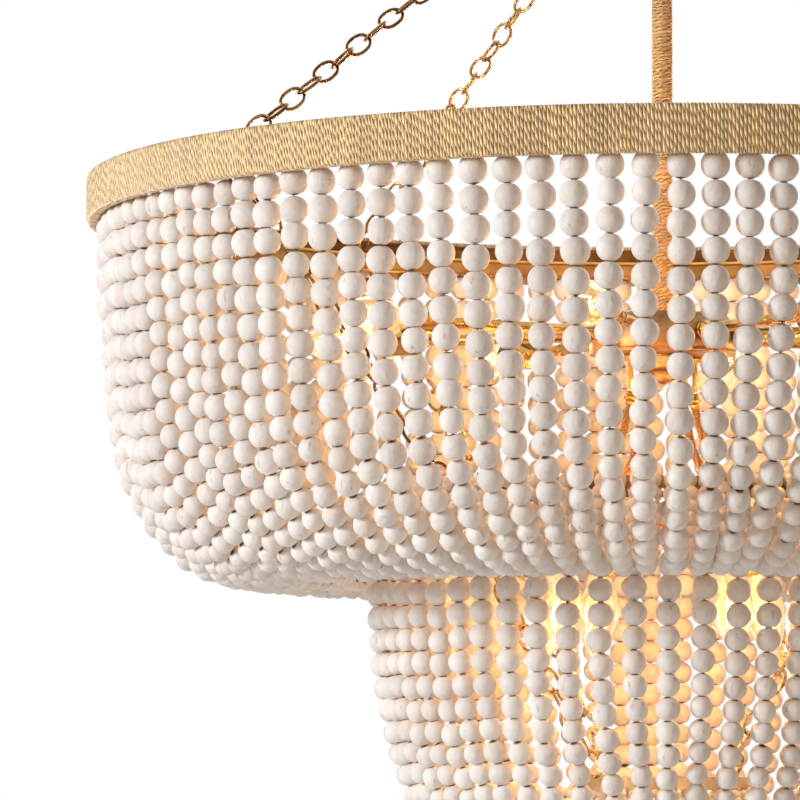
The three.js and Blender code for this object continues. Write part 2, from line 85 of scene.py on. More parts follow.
ahead = Vector((math.sin(YAW) * math.cos(PITCH), math.cos(YAW) * math.cos(PITCH), math.sin(PITCH)))
level_right = Vector((math.cos(YAW), -math.sin(YAW), 0))
level_up = level_right.cross(ahead)
right = math.cos(ROLL) * level_right + math.sin(ROLL) * level_up
up = math.cos(ROLL) * level_up - math.sin(ROLL) * level_right

camera_data = bpy.data.cameras.new("camera")
camera_data.sensor_width = SENSOR
camera_data.lens = FOCAL_PIXELS / FRAME_PIXELS * SENSOR
camera_data.clip_end = 100
camera = bpy.data.objects.new("camera", camera_data)
axes = Matrix((right, up, -ahead)).transposed()
camera.matrix_world = Matrix.Translation(CAMERA_PLACE) @ axes.to_4x4()
bpy.context.scene.collection.objects.link(camera)
bpy.context.scene.camera = camera
print("lens in mm:", round(camera_data.lens, 2))


# %% [markdown]
# Shapes from rows of points
#
# Nearly every piece of this lamp was turned on a lathe or bent from wire. Blender's Screw and Curve tools
# could make both, but their UV maps don't say how far along the piece a spot is, and the cord and brass
# finishes need that. So a shape here is three plain lists: points in millimetres, faces, and one UV pair
# for each corner of each face. `skin` stretches faces over rows of points, and all the rest builds on it.

# %% Distances along a line
def distances(line):
    """How far along a line each of its points lies."""
    steps = np.linalg.norm(np.diff(np.asarray(line, float), axis=0), axis=1)
    return np.concatenate([[0], np.cumsum(steps)])


def points_at(spots, along, line):
    """The points at the given distances along a line."""
    return np.stack([np.interp(spots, along, line[:, axis]) for axis in range(3)], axis=1)


print("along a corner:", distances([(0, 0), (3, 0), (3, 4)]))


# %% Faces over rows of points
def skin(rows, lengths, along=False, caps=False):
    """Faces over closed rows of points; along joins the last row to the first, and caps close the ends.

    U is the length along the rows, and V runs once round each."""
    rows = np.asarray(rows, float)
    count, sides = rows.shape[:2]
    faces, uvs = [], []
    for r in range(count if along else count - 1):
        for s in range(sides):
            r2, s2 = (r + 1) % count, (s + 1) % sides
            faces.append((r * sides + s, r * sides + s2, r2 * sides + s2, r2 * sides + s))
            low, high = s / sides, (s + 1) / sides
            uvs += [(lengths[r], low), (lengths[r], high), (lengths[r + 1], high), (lengths[r + 1], low)]
    if caps:
        last = (count - 1) * sides
        faces += [tuple(range(sides))[::-1], tuple(range(last, last + sides))]
        uvs += [(0.0, 0.0)] * sides + [(lengths[count - 1], 0.0)] * sides
    return rows.reshape(-1, 3), faces, uvs


def merge(*shapes):
    """Several shapes as one."""
    points, faces, uvs, base = [], [], [], 0
    for some_points, some_faces, some_uvs in shapes:
        points.append(some_points)
        faces += [tuple(i + base for i in face) for face in some_faces]
        uvs += some_uvs
        base += len(some_points)
    return np.vstack(points), faces, uvs


print("faces between two rows of 4:", len(skin([[(0, 0, 0)] * 4] * 2, [0, 1])[1]))


# %% [markdown]
# Turned shapes
#
# Beads, cups, rings and the canopy are all turned in reality. Blender's Spin or Screw would need an edge
# to spin and a clean-up after it. Here the outline is written as pairs of radius and height, which can be
# read off the photograph, and each pair becomes one row of points round Z.

# %% Turned shapes
def lathe(outline, sides, ring=False):
    """A shape turned round Z from points of radius and height; a ring's outline closes on itself."""
    angles = np.arange(sides) * 2 * math.pi / sides
    rows = [[(r * math.sin(a), -r * math.cos(a), h) for a in angles] for r, h in outline]
    return skin(rows, distances(list(outline) + [outline[0]]), along=ring, caps=not ring)


print("faces of a ring in 8 steps:", len(lathe([(1, 0), (2, 0), (2, 1)], 8, ring=True)[1]))


# %% [markdown]
# Curves and tubes
#
# Cord, wire and conduits are tubes along a bent line. A Curve object with a round bevel could make them,
# but a cord that is pulled tight round a band lies a little flat. So `tube` can squeeze its section, and it
# carries one direction along the line, which keeps the tube from twisting. `smooth` draws a soft curve
# through a few chosen points, so that a bend needs no long list.

# %% Curves and tubes
def smooth(points, steps):
    """More points on a soft curve through the given ones."""
    points = np.asarray(points, float)
    last = len(points) - 1
    places = []
    for i in range(last):
        a, b, c, d = points[[max(i - 1, 0), i, i + 1, min(i + 2, last)]]
        for t in np.arange(steps) / steps:
            places.append(0.5 * (2 * b + (c - a) * t + (2 * a - 5 * b + 4 * c - d) * t**2
                                 + (3 * b - a - 3 * c + d) * t**3))
    places.append(points[-1])
    return np.array(places)


def tube(path, radius, sides, loop=False, across=None, flat=1.0):
    """A round tube along a path. across is the first direction at right angles to the path, and flat
    squeezes the tube in the second one."""
    path = np.asarray(path, float)
    if loop:
        tangents = np.roll(path, -1, axis=0) - np.roll(path, 1, axis=0)
    else:
        tangents = np.gradient(path, axis=0)
    tangents /= np.linalg.norm(tangents, axis=1)[:, None]
    if across is None:
        across = (0, 0, 1) if abs(tangents[0][2]) < 0.9 else (1, 0, 0)
    normal = np.array(across, float)
    angles = np.arange(sides) * 2 * math.pi / sides
    rows = []
    for place, tangent in zip(path, tangents):
        normal = normal - tangent * (normal @ tangent)
        normal /= np.linalg.norm(normal)
        other = np.cross(tangent, normal)
        rows.append([place + radius * (math.cos(a) * normal + flat * math.sin(a) * other)
                     for a in angles])
    return skin(rows, distances(np.vstack([path, path[:1]])), along=loop, caps=not loop)


print("points of a curve through 3 points:", len(smooth([(0, 0), (1, 1), (2, 0)], 4)))


# %% [markdown]
# From a shape to a finished piece
#
# A mesh becomes a piece of the lamp when it rides on a body, gets its material and hides the CAD nodes that
# it stands for. One function does all of it, so that no piece can miss a step. Edges that are sharper
# than an angle stay crisp, and the others are shaded smooth.

# %% Meshes and pieces
def to_mesh(name, shape, material=None, sharp=35):
    """A Blender mesh of the shape, in metres, shaded smooth apart from its sharp edges."""
    points, faces, uvs = shape
    mesh = bpy.data.meshes.new(name)
    mesh.from_pydata((np.asarray(points) * MM).tolist(), [], faces)
    mesh.uv_layers.new(name="UVMap").data.foreach_set("uv", np.array(uvs, float).ravel())
    work = bmesh.new()
    work.from_mesh(mesh)
    bmesh.ops.recalc_face_normals(work, faces=work.faces)
    work.to_mesh(mesh)
    work.free()
    mesh.shade_smooth()
    mesh.set_sharp_from_angle(angle=math.radians(sharp))
    if material:
        mesh.materials.append(material)
    return mesh


def show(name, mesh, body, nodes):
    """A finished piece: it rides on a body and hides the CAD nodes that it stands for."""
    made = bpy.data.objects.new(name, mesh)
    bpy.context.scene.collection.objects.link(made)
    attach(made, body)
    if nodes:
        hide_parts(*nodes)
    return made


def piece(name, shape, material, body, nodes=(), sharp=35):
    return show(name, to_mesh(name, shape, material, sharp), body, nodes)


print("CAD nodes in the frame:", len(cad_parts))


# %% [markdown]
# Geometry Nodes: one shape on many points
#
# The lamp has some 4,500 beads, 1,200 turns of cord and 200 chain links. Copying objects in a loop would
# be slow and would leave thousands of objects. So each of them is one small mesh, and a node group puts a
# copy on every point of a cloud, turned and scaled by the points' own attributes, and makes the copies
# real. A `tone` from 0 to 1 goes along, so that each copy can have its own shade of the material.

# %% The node group
def spread_group():
    group = bpy.data.node_groups.new("one shape on many points", "GeometryNodeTree")
    sockets = group.interface
    sockets.new_socket("Cloud", in_out="INPUT", socket_type="NodeSocketGeometry")
    shape = sockets.new_socket("Shape", in_out="INPUT", socket_type="NodeSocketObject")
    finish = sockets.new_socket("Finish", in_out="INPUT", socket_type="NodeSocketMaterial")
    sockets.new_socket("Copies", in_out="OUTPUT", socket_type="NodeSocketGeometry")

    def new(kind, **settings):
        made = group.nodes.new(kind)
        for key, value in settings.items():
            setattr(made, key, value)
        return made

    def named(name):
        made = new("GeometryNodeInputNamedAttribute", data_type="FLOAT_VECTOR")
        made.inputs["Name"].default_value = name
        return made.outputs["Attribute"]

    enter, leave = new("NodeGroupInput"), new("NodeGroupOutput")
    source = new("GeometryNodeObjectInfo")
    copies = new("GeometryNodeInstanceOnPoints")
    rotation = new("FunctionNodeEulerToRotation")
    real = new("GeometryNodeRealizeInstances")
    paint = new("GeometryNodeSetMaterial")
    for start, end in (
        (enter.outputs["Cloud"], copies.inputs["Points"]),
        (enter.outputs["Shape"], source.inputs["Object"]),
        (source.outputs["Geometry"], copies.inputs["Instance"]),
        (named("turn"), rotation.inputs["Euler"]),
        (rotation.outputs["Rotation"], copies.inputs["Rotation"]),
        (named("size"), copies.inputs["Scale"]),
        (copies.outputs["Instances"], real.inputs["Geometry"]),
        (real.outputs["Geometry"], paint.inputs["Geometry"]),
        (enter.outputs["Finish"], paint.inputs["Material"]),
        (paint.outputs["Geometry"], leave.inputs["Copies"]),
    ):
        group.links.new(start, end)
    return group, shape.identifier, finish.identifier


SPREAD, SHAPE_INPUT, FINISH_INPUT = spread_group()
print("nodes in the group:", len(SPREAD.nodes))


# %% Copies on points
def spread(name, shape_mesh, places, turns, sizes, tones, material, body, nodes):
    """One mesh of copies of a shape: places in millimetres, turns as Euler angles."""
    cloud = bpy.data.meshes.new(name + "_points")
    cloud.from_pydata((np.asarray(places, float) * MM).tolist(), [], [])
    for key, values in (("turn", turns), ("size", sizes)):
        values = np.asarray(values, float).ravel()
        cloud.attributes.new(key, "FLOAT_VECTOR", "POINT").data.foreach_set("vector", values)
    cloud.attributes.new("tone", "FLOAT", "POINT").data.foreach_set("value", np.asarray(tones, float))
    source = bpy.data.objects.new(name + "_shape", shape_mesh)
    points = bpy.data.objects.new(name + "_points", cloud)
    for some in (source, points):
        bpy.context.scene.collection.objects.link(some)
    modifier = points.modifiers.new("copies", "NODES")
    modifier.node_group = SPREAD
    modifier[SHAPE_INPUT] = source
    modifier[FINISH_INPUT] = material
    bpy.context.view_layer.update()
    mesh = bpy.data.meshes.new_from_object(points.evaluated_get(bpy.context.evaluated_depsgraph_get()))
    mesh.name = name
    for key in ("turn", "size"):
        if key in mesh.attributes:
            mesh.attributes.remove(mesh.attributes[key])
    for some in (source, points):
        bpy.data.objects.remove(some)
    print(name, "has", len(places), "copies and", len(mesh.polygons), "faces")
    return show(name, mesh, body, nodes)


# %% [markdown]
# Paint: a short way to write node materials
#
# All finishes are node materials on Object coordinates, UV maps or the copies' `tone`, because a picture
# would blur in a close view. Written in full, each would take a page of links, so `Paint` wraps the few
# nodes that they share. Colours are sRGB hex, as they look in the photograph, turned into linear light.

# %% Colours
def colour(code):
    """An sRGB hex colour in linear light."""
    parts = [int(code[i:i + 2], 16) / 255 for i in (0, 2, 4)]
    return [c / 12.92 if c <= 0.04045 else ((c + 0.055) / 1.055) ** 2.4 for c in parts] + [1]


print("mid grey in linear light:", round(colour("808080")[0], 3))


# %% Paint
class Paint:
    """A material with a short way to add nodes to it."""

    def __init__(self, name, **sockets):
        self.material = bpy.data.materials.new(name)
        self.material.use_nodes = True
        self.tree = self.material.node_tree
        self.shader = self.tree.nodes["Principled BSDF"]
        for key, value in sockets.items():
            self.shader.inputs[key.replace("_", " ")].default_value = value

    def node(self, kind, inputs=None, out=0, **settings):
        made = self.tree.nodes.new(kind)
        for key, value in settings.items():
            setattr(made, key, value)
        for key, value in (inputs or {}).items():
            if isinstance(value, bpy.types.NodeSocket):
                self.tree.links.new(value, made.inputs[key])
            else:
                made.inputs[key].default_value = value
        return made.outputs[out]

    def noise(self, scale, detail=3, stretch=(1, 1, 1), rough=0.55):
        """Noise on Object coordinates; a stretch under 1 draws it out along that axis."""
        spot = self.node("ShaderNodeTexCoord", out="Object")
        place = self.node("ShaderNodeMapping", {"Vector": spot, "Scale": stretch})
        return self.node("ShaderNodeTexNoise", {"Vector": place, "Scale": scale, "Detail": detail,
                                                "Roughness": rough}, out=0)

    def along(self, axis="X"):
        """How far along the piece, or for Y how far round it, from the UV map."""
        spot = self.node("ShaderNodeUVMap", uv_map="UVMap")
        return self.node("ShaderNodeSeparateXYZ", {0: spot}, out=axis)

    def tone(self):
        return self.node("ShaderNodeAttribute", out="Fac", attribute_name="tone")

    def math(self, operation, a, b):
        return self.node("ShaderNodeMath", {0: a, 1: b}, operation=operation)

    def between(self, value, low, high, start=0.0, end=1.0):
        """A value that goes from start to end while another goes from low to high."""
        return self.node("ShaderNodeMapRange", {"Value": value, "From Min": low, "From Max": high,
                                                "To Min": start, "To Max": end})

    def mix(self, factor, a, b, mode="MIX"):
        return self.node("ShaderNodeMix", {0: factor, 6: a, 7: b}, out=2, data_type="RGBA",
                         blend_type=mode)

    def bump(self, height, distance, strength, under=None):
        """Relief so deep in metres, laid over the relief under it."""
        inputs = {"Height": height, "Distance": distance, "Strength": strength}
        if under is not None:
            inputs["Normal"] = under
        return self.node("ShaderNodeBump", inputs)

    def set(self, **sockets):
        for key, value in sockets.items():
            self.tree.links.new(value, self.shader.inputs[key.replace("_", " ")])
        return self.material


print("ways to paint:", [name for name in vars(Paint) if not name.startswith("_")])


# %% [markdown]
# One bead
#
# The real beads are turned from wood: a barrel-like ball with two small flats where the string comes out.
# A UV sphere would have no hole and many more faces than thousands of copies can afford. So an outline of
# five points a side is turned in twelve steps, in shares of the bead's height. U counts from hole to hole,
# so it tells the paint how near a spot is to a drilled end.

# %% Bead
BEAD_WIDTH = 1.05  # as a share of the height: the turned beads are a little squat
BEAD_RINGS = [(0.078, 0.491), (0.262, 0.438), (0.384, 0.335), (0.463, 0.2), (0.4965, 0.068)]

bead_outline = [(r, -h) for r, h in BEAD_RINGS] + [(r, h) for r, h in BEAD_RINGS[::-1]]
bead_mesh = to_mesh("bead", lathe(bead_outline, 12, ring=True), sharp=80)
BEAD_RUN = float(distances(bead_outline)[-1])  # the outline's length from hole to hole
print("bead faces:", len(bead_mesh.polygons), "outline:", round(BEAD_RUN, 3))


# %% [markdown]
# White-washed wood
#
# Thin white wash lies over pale wood. It wears in streaks and blotches, opens in fine cracks and turns grey
# in patches. Towards the drilled ends it is painted dark, as painted shade where two beads meet. A picture
# could hold all of this, but it would repeat on every bead. So each kind of wear is a layer of noise on
# Object coordinates, which differ from bead to bead, and the copy's tone decides how white a bead is and
# how much it has worn.

# %% Bead finish
def bead_wood():
    p = Paint("white-washed wood", Roughness=0.6, Specular_IOR_Level=0.35)
    tone = p.tone()
    blotch = p.between(p.noise(62, 4), 0.5, 0.7, 0, 0.6)
    streak = p.between(p.noise(150, 5, (1, 1, 0.2), 0.7), 0.52, 0.74, 0, 0.55)
    wear = p.math("MULTIPLY", p.math("ADD", blotch, streak), p.between(tone, 0, 1, 0.35, 1))
    wash = p.mix(tone, colour("f2eeea"), colour("e0d9d4"))
    worn = p.mix(wear, wash, colour("d8c8bc"))
    crack = p.between(p.noise(190, 6, (1, 1, 0.3), 0.62), 0.62, 0.71, 0, 0.55)
    worn = p.mix(crack, worn, colour("8d7767"))
    grey = p.between(p.noise(30, 2), 0.5, 0.72, 0, 0.35)
    worn = p.mix(grey, worn, colour("cdc2bd"))
    run = p.along()
    near_end = p.math("MINIMUM", run, p.math("SUBTRACT", BEAD_RUN, run))
    # painted shade: darker towards the drilled ends, where two beads meet
    base = p.mix(p.between(near_end, 0.13, 0.04), worn, colour("7b5840"))
    lumps = p.bump(p.noise(95, 4), 0.0015, 0.65)
    grain = p.bump(p.noise(420, 4, (1, 1, 0.2)), 0.0005, 0.75, lumps)
    return p.set(Base_Color=base, Normal=grain)


WOOD = bead_wood()
print("nodes in the wood:", len(WOOD.node_tree.nodes))

# %% [markdown]
# Strings of beads
#
# A real string hangs in a soft bow from the hoop to the ring, and its beads get smaller on the way. The
# physics could be simulated, but the photograph already shows the curve. So each tier has one path, given
# as how far out and how far down its middle runs, and one table of bead heights. A string then picks its
# own small sway, and each bead its own size, lean and tone, because every real column wanders a little.

# %% The tiers' paths
STRAND_AZIMUTH = 1.6  # where the first string hangs
UPPER_COUNT, LOWER_COUNT = 112, 56
UPPER_PATH = [
    (438.8, 31.4), (438.2, 61), (437.5, 82), (435.7, 105), (433.4, 128), (432, 146), (429.3, 176),
    (426, 200), (423, 216), (419, 235), (412.5, 250), (404.5, 265), (397, 276), (385.5, 288),
    (371.5, 301), (352.5, 309.5), (330, 315), (312, 316), (285, 310), (262, 293), (243.5, 268),
    (234, 252), (231.8, 244),
]
LOWER_PATH = [
    (224, 263), (224, 335), (222.5, 356), (222, 374), (220, 392), (215.5, 413), (212.5, 429),
    (209, 445.5), (203, 460), (195.5, 483), (184, 503), (166, 518), (146, 525), (124, 524),
    (102, 513), (85, 496), (76, 480),
]
# The share of the string's length, and a bead's height there
UPPER_SIZES = [(0, 20.2), (0.32, 19.6), (0.44, 19.1), (0.5, 18.1), (0.62, 17.6), (0.72, 15.4),
               (0.86, 13.1), (1, 11.2)]
LOWER_SIZES = [(0, 19.1), (0.5, 17.3), (0.63, 15.2), (0.8, 12.2), (0.9, 9.4), (1, 6.8)]


def run_of(path, azimuth, sway, lean):
    """A string's middle line as points in millimetres, and how far along each one is."""
    line = smooth(path, 5)
    along = distances(line)
    share = along / along[-1]
    swell = np.sin(math.pi * share)
    out = line[:, 0] + sway * swell
    side = lean[0] * swell + lean[1] * np.sin(2 * math.pi * share)
    angle = math.radians(azimuth) + side / out
    points = np.stack([out * np.sin(angle), -out * np.cos(angle), HOOP - line[:, 1]], axis=1)
    return points, along


print("length of an upper string:", round(distances(UPPER_PATH)[-1]), "mm")


# %% [markdown]
# Beads on a string
#
# Even spacing would show gaps, because no two beads are the same. So they are threaded as by hand: each
# one starts where the last one ends, until the string is full. The seed is fixed, so that the same lamp
# comes out each time.

# %% Bead heights
random = np.random.default_rng(7)
STRING_SIZE = (0.975, 1.025)  # a string's beads against the tier's
BEAD_SIZE = (0.965, 1.03)  # a bead's height against its string's
FIRST_REACH = (-1.2, 1.4)  # where the first bead starts
ROOM_FOR_ONE = 0.75  # a bead is threaded if so much of it still fits


def heights_along(sizes, total):
    """The middles and heights of the beads that fill a string, and how far they reach."""
    shares, tall = zip(*sizes)
    large = random.uniform(*STRING_SIZE)
    middles, heights, reach = [], [], random.uniform(*FIRST_REACH)
    while True:
        height = float(np.interp(reach / total, shares, tall)) * large * random.uniform(*BEAD_SIZE)
        if reach + height * ROOM_FOR_ONE > total:
            return np.array(middles), heights, reach
        middles.append(reach + height / 2)
        heights.append(height)
        reach += height


print("bead heights from hoop to ring:", UPPER_SIZES[0][1], "to", UPPER_SIZES[-1][1], "mm")

# %% [markdown]
# Beads in place
#
# A full string's beads are moved apart by a hair, so that the last one reaches the ring. A bead's axis
# follows the string, whose direction is measured a little before and after it. Then it leans at random, as
# loose beads do, and turns about its string, so that the wear shows on another side each time.

# %% Beads on a string
REACH_AHEAD = 3  # how far before and after a bead the string's direction is taken
NEARLY_FULL = 0.985  # from this share on, the beads are moved apart to fill the string
LEAN, OFF_LINE = 0.05, 0.35  # how far beads lean, and how far they sit off the line
WIDE_PLAY, ROUND_PLAY = (0.96, 1.02), (0.98, 1.02)
TOUCHING = 1.02  # the outline is 0.982 high, and so much larger it meets the next bead


def beads_on(path, sizes, azimuth, sway, lean):
    """Centres, Euler turns, scales and tones of one string's beads, and the string's line."""
    line, along = run_of(path, azimuth, sway, lean)
    total = along[-1]
    middles, heights, reach = heights_along(sizes, total)
    spots = middles * (total / reach if reach > total * NEARLY_FULL else 1.0)
    centres = points_at(spots, along, line)
    aims = points_at(spots + REACH_AHEAD, along, line) - points_at(spots - REACH_AHEAD, along, line)
    turns, scales = [], []
    for aim, height in zip(aims, heights):
        aim = Vector(aim).normalized() + Vector(random.normal(0, LEAN, 3))
        turn = Vector((0, 0, 1)).rotation_difference(aim.normalized()).to_matrix()
        turn = turn @ Matrix.Rotation(random.uniform(0, 6.28), 3, "Z")
        turns.append(turn.to_euler())
        wide = height * BEAD_WIDTH * random.uniform(*WIDE_PLAY)
        scales.append((wide * random.uniform(*ROUND_PLAY), wide, height * TOUCHING))
    centres += random.normal(0, OFF_LINE, centres.shape)
    tones = 0.5 * random.uniform(0, 1) + 0.5 * random.uniform(0, 1, len(turns))
    return centres, turns, scales, tones, line


print("beads stand off their line by about", OFF_LINE, "mm")


# %% [markdown]
# The two tiers
#
# One object for all strings would pass 200,000 triangles, and one for each string would be 168 objects.
# Each tier is made in four quarters, which also stand for the CAD model's four nodes. Neighbouring strings
# wander partly together, as they push each other. Through the beads runs a thin wire, which shows where
# two beads part, with a hook up to the hoop or ring.

# %% Beads of both tiers
WIRE_RADIUS, WIRE_HOOK = 0.55, 4
AZIMUTH_PLAY = 0.22  # in degrees
SWAY_PLAY, BOW_PLAY, WAVE_PLAY = 1.6, 2.6, 1.9  # outwards, to one side and to both sides, in mm
OWN_SHARE, NEIGHBOUR_SHARE = 0.62, 0.38


def wander(count, most):
    """One number for each string round the tier, in which neighbours go partly together."""
    own = random.normal(0, most, count)
    return OWN_SHARE * own + NEIGHBOUR_SHARE * (np.roll(own, 1) + np.roll(own, -1))


wires = []
for tier, path, sizes, count in (
    ("upper", UPPER_PATH, UPPER_SIZES, UPPER_COUNT), ("lower", LOWER_PATH, LOWER_SIZES, LOWER_COUNT),
):
    shifts = wander(count, AZIMUTH_PLAY)
    sways, bows, waves = (wander(count, most) for most in (SWAY_PLAY, BOW_PLAY, WAVE_PLAY))
    for quarter in range(4):
        places, turns, scales, tones = [], [], [], []
        for k in range(quarter * count // 4, (quarter + 1) * count // 4):
            azimuth = STRAND_AZIMUTH + k * 360 / count + shifts[k]
            *beads, line = beads_on(path, sizes, azimuth, sways[k], (bows[k], waves[k]))
            for total, new in zip((places, turns, scales, tones), beads):
                total.extend(new)
            hook = line[:1] + [[0, 0, WIRE_HOOK]]
            wires.append(tube(np.vstack([hook, line[::5]]), WIRE_RADIUS, 4))
        spread(f"{tier}_beads_{quarter + 1}", bead_mesh, places, turns, scales, tones,
               WOOD, "shade", [f"{tier}_strands_{quarter + 1}"])


# %% [markdown]
# Aged metal
#
# The lamp's brass has been handled: bright where it is rubbed, dull in soft patches, with fine brushing
# all over and, on turned parts, thin dark lines of painted reflection, where polished brass would mirror
# something dark. A single metal colour would look like plastic. One function makes the whole family, from a
# bright and a dull colour. The painted reflections run along the UV map, because they follow the turned
# shape and not the room's axes.

# %% Metal finish
# painted reflection: the colour of the dark lines on turned brass
DARK_REFLECTION = "4a2c10"
REFLECTION_STRETCH = (0.012, 9, 1)  # long along the piece, narrow round it


def metal(name, bright, dull, roughness=0.3, wear=60, reflection_lines=0.0):
    p = Paint(name, Metallic=1.0)
    base = p.mix(p.between(p.noise(wear, 4), 0.38, 0.68), colour(bright), colour(dull))
    # painted reflection: thin dark lines that run along turned pieces
    if reflection_lines:
        spot = p.node("ShaderNodeUVMap", uv_map="UVMap")
        spot = p.node("ShaderNodeMapping", {"Vector": spot, "Scale": REFLECTION_STRETCH})
        line = p.node("ShaderNodeTexNoise", {"Vector": spot, "Scale": 1.0, "Detail": 2}, out=0)
        base = p.mix(p.between(line, 0.5, 0.62, 0, reflection_lines), base, colour(DARK_REFLECTION))
    rough = p.between(p.noise(wear * 2, 3), 0.3, 0.7, roughness * 0.75, roughness * 1.35)
    fine = p.bump(p.noise(700, 3, (1, 1, 6)), 0.0001, 0.25)
    return p.set(Base_Color=base, Roughness=rough, Normal=fine)


WIRE = metal("string wire", "a07a45", "6b4d2a", 0.4)
BRASS = metal("aged brass", "e6b468", "bd8c48", 0.2, reflection_lines=0.85)
STEEL = metal("zinc-plated steel", "b4b4b0", "8f8f8c", 0.36)
piece("string_wires", merge(*wires), WIRE, "shade")
print("wires:", len(wires))


# %% [markdown]
# Twisted cord
#
# The cord is straw, twisted from two plies. The twist could be modelled, but on some 1,200 turns it would
# cost millions of faces. The tubes are plain, and the paint draws the plies: U and V together count how
# often the twist has come round, and a see-saw of that gives pale ridges with painted shade in the groove
# between them. Each turn of the winding has its own tone, which shifts the grooves and draws the twist
# tighter or looser.

# %% Cord finish
def cord_material(name, light, dark, twist, depth=0.001):
    """twist is the usual length of one twist in millimetres, and depth the groove's, in metres."""
    p = Paint(name, Roughness=0.8, Specular_IOR_Level=0.3, Sheen_Weight=0.9, Sheen_Roughness=0.4)
    tone = p.tone()
    per_mm = p.between(tone, 0, 1, 1.25 / twist, 0.8 / twist)
    turns = p.math("ADD", p.math("MULTIPLY", p.along(), per_mm), p.math("MULTIPLY", p.along("Y"), 2))
    ply = p.math("PINGPONG", p.math("ADD", turns, p.math("MULTIPLY", tone, 7)), 0.5)
    # painted shade: the dark colour fills the groove between the plies
    base = p.mix(p.between(ply, 0.0, 0.13), colour(dark), colour(light))
    base = p.mix(p.between(p.noise(38, 3), 0.4, 0.75, 0, 0.16), base, colour(dark), "MULTIPLY")
    shade = p.between(tone, 0, 1, 0.94, 1.14)
    base = p.mix(1.0, base, p.node("ShaderNodeCombineColor", {0: shade, 1: shade, 2: shade}), "MULTIPLY")
    plies = p.bump(p.between(ply, 0.0, 0.42), depth, 1.0)
    fibres = p.bump(p.noise(900, 4, (1, 1, 0.35)), 0.0002, 0.5, plies)
    return p.set(Base_Color=base, Normal=fibres)


# the second colour is the painted shade in the grooves, and it also darkens random patches
STRAW = cord_material("straw cord", "ffe1ab", "7a3508", 8.5)
STEM_CORD = cord_material("stem cord", "f3c887", "5e2706", 8.5)
BROWN_CORD = cord_material("brown cord", "c08a48", "553213", 4.0, 0.0005)
print("cords:", STRAW.name, STEM_CORD.name, BROWN_CORD.name)

# %% [markdown]
# The wound hoop
#
# The cord goes round a flat band about 1,060 times. A bump map on a plain band would show a flat edge
# against the white background. So one turn is modelled, from the bottom inside corner round to the same
# corner one pitch further on, and the node group repeats it about the axis. Each turn is off its place by
# a few hundredths of a pitch, as hand winding is. A dark brown core behind it closes the view between
# turns and shows there as painted shade.

# %% Hoop winding
HOOP_RADIUS, HOOP_HEIGHT, HOOP_WALL = 457, 35.3, 10
HOOP_CORNER = 2.2
CORD = 1.34  # the cord's radius
PRESSED = 0.55  # the cord is pulled tight round the band, so it lies a little flat
INSIDE_BOX = 0.06  # keeps the winding inside the CAD model's box
HOOP_TURNS = 1060
TURN_BOW, TURN_PLAY = 0.25, 0.07  # a turn's sideways bow in mm, and its play as a share of the pitch


def hoop_turn():
    thick = CORD * PRESSED
    low, high = -HOOP_HEIGHT + thick, -thick
    inner, outer = HOOP_RADIUS - HOOP_WALL + thick, HOOP_RADIUS - thick - INSIDE_BOX
    section = []
    for x, z, start in ((inner, low, 180), (outer, low, 270), (outer, high, 0), (inner, high, 90)):
        middle_x = x + HOOP_CORNER * (1 if x == inner else -1)
        middle_z = z + HOOP_CORNER * (1 if z == low else -1)
        for angle in (start, start + 45, start + 90):
            a = math.radians(angle)
            section.append((middle_x + HOOP_CORNER * math.cos(a), middle_z + HOOP_CORNER * math.sin(a)))
    section.append(section[0])
    pitch = 2 * math.pi * outer / HOOP_TURNS
    share = np.linspace(0, 1, len(section))
    path = [(pitch * s + TURN_BOW * math.sin(2 * math.pi * s), -r, HOOP + z)
            for s, (r, z) in zip(share, section)]
    return tube(path, CORD, 7, across=(1, 0, 0), flat=PRESSED)


turn_mesh = to_mesh("hoop_turn", hoop_turn(), sharp=80)
step = 2 * math.pi / HOOP_TURNS
spins = [(0, 0, k * step + random.uniform(-TURN_PLAY, TURN_PLAY) * step) for k in range(HOOP_TURNS)]
spread("hoop_winding", turn_mesh, np.zeros((HOOP_TURNS, 3)), spins, np.ones((HOOP_TURNS, 3)),
       random.uniform(0, 1, HOOP_TURNS), STRAW, "shade", ["hoop_wrap"])
# painted shade: the core is dark brown, so the gaps between turns look shaded
core_outline = [(448.6, below(34.1)), (455.9, below(34.1)), (455.9, below(1.1)), (448.6, below(1.1))]
piece("hoop_core", lathe(core_outline, 180, ring=True), BROWN_CORD, "shade")

# %% [markdown]
# The metal hoop
#
# Inside the winding sits a brass band with a rounded ridge and a rolled lip at each edge. It is one turned
# ring. Its finish reads the height: it is darker above the ridge and lighter below it, and a painted
# highlight runs along the ridge itself. Three bands of colour then follow the shape with no UV map to line
# up.

# %% Metal hoop
RIDGE_DROP = 16


def hoop_metal_finish():
    p = Paint("hoop brass", Metallic=1.0, Roughness=0.3)
    height = p.node("ShaderNodeSeparateXYZ", {0: p.node("ShaderNodeTexCoord", out="Object")}, out="Z")
    ridge = below(RIDGE_DROP) * MM
    # the band is darker above the ridge than below it
    above_ridge = p.between(height, ridge - 3 * MM, ridge - 1.5 * MM)
    lower_band = p.mix(p.between(p.noise(45, 4), 0.38, 0.68), colour("b0834a"), colour("7f5530"))
    dull = p.mix(p.between(p.noise(60, 4), 0.35, 0.7), colour("7d552c"), colour("4f3419"))
    off_ridge = p.math("ABSOLUTE", p.math("SUBTRACT", height, ridge), 0.0)
    # painted highlight: a bright line along the ridge
    dull = p.mix(p.between(off_ridge, 1.5 * MM, 0.9 * MM), dull, colour("f2bd6e"))
    fine = p.bump(p.noise(700, 3, (1, 1, 6)), 0.0001, 0.25)
    return p.set(Base_Color=p.mix(above_ridge, lower_band, dull), Normal=fine)


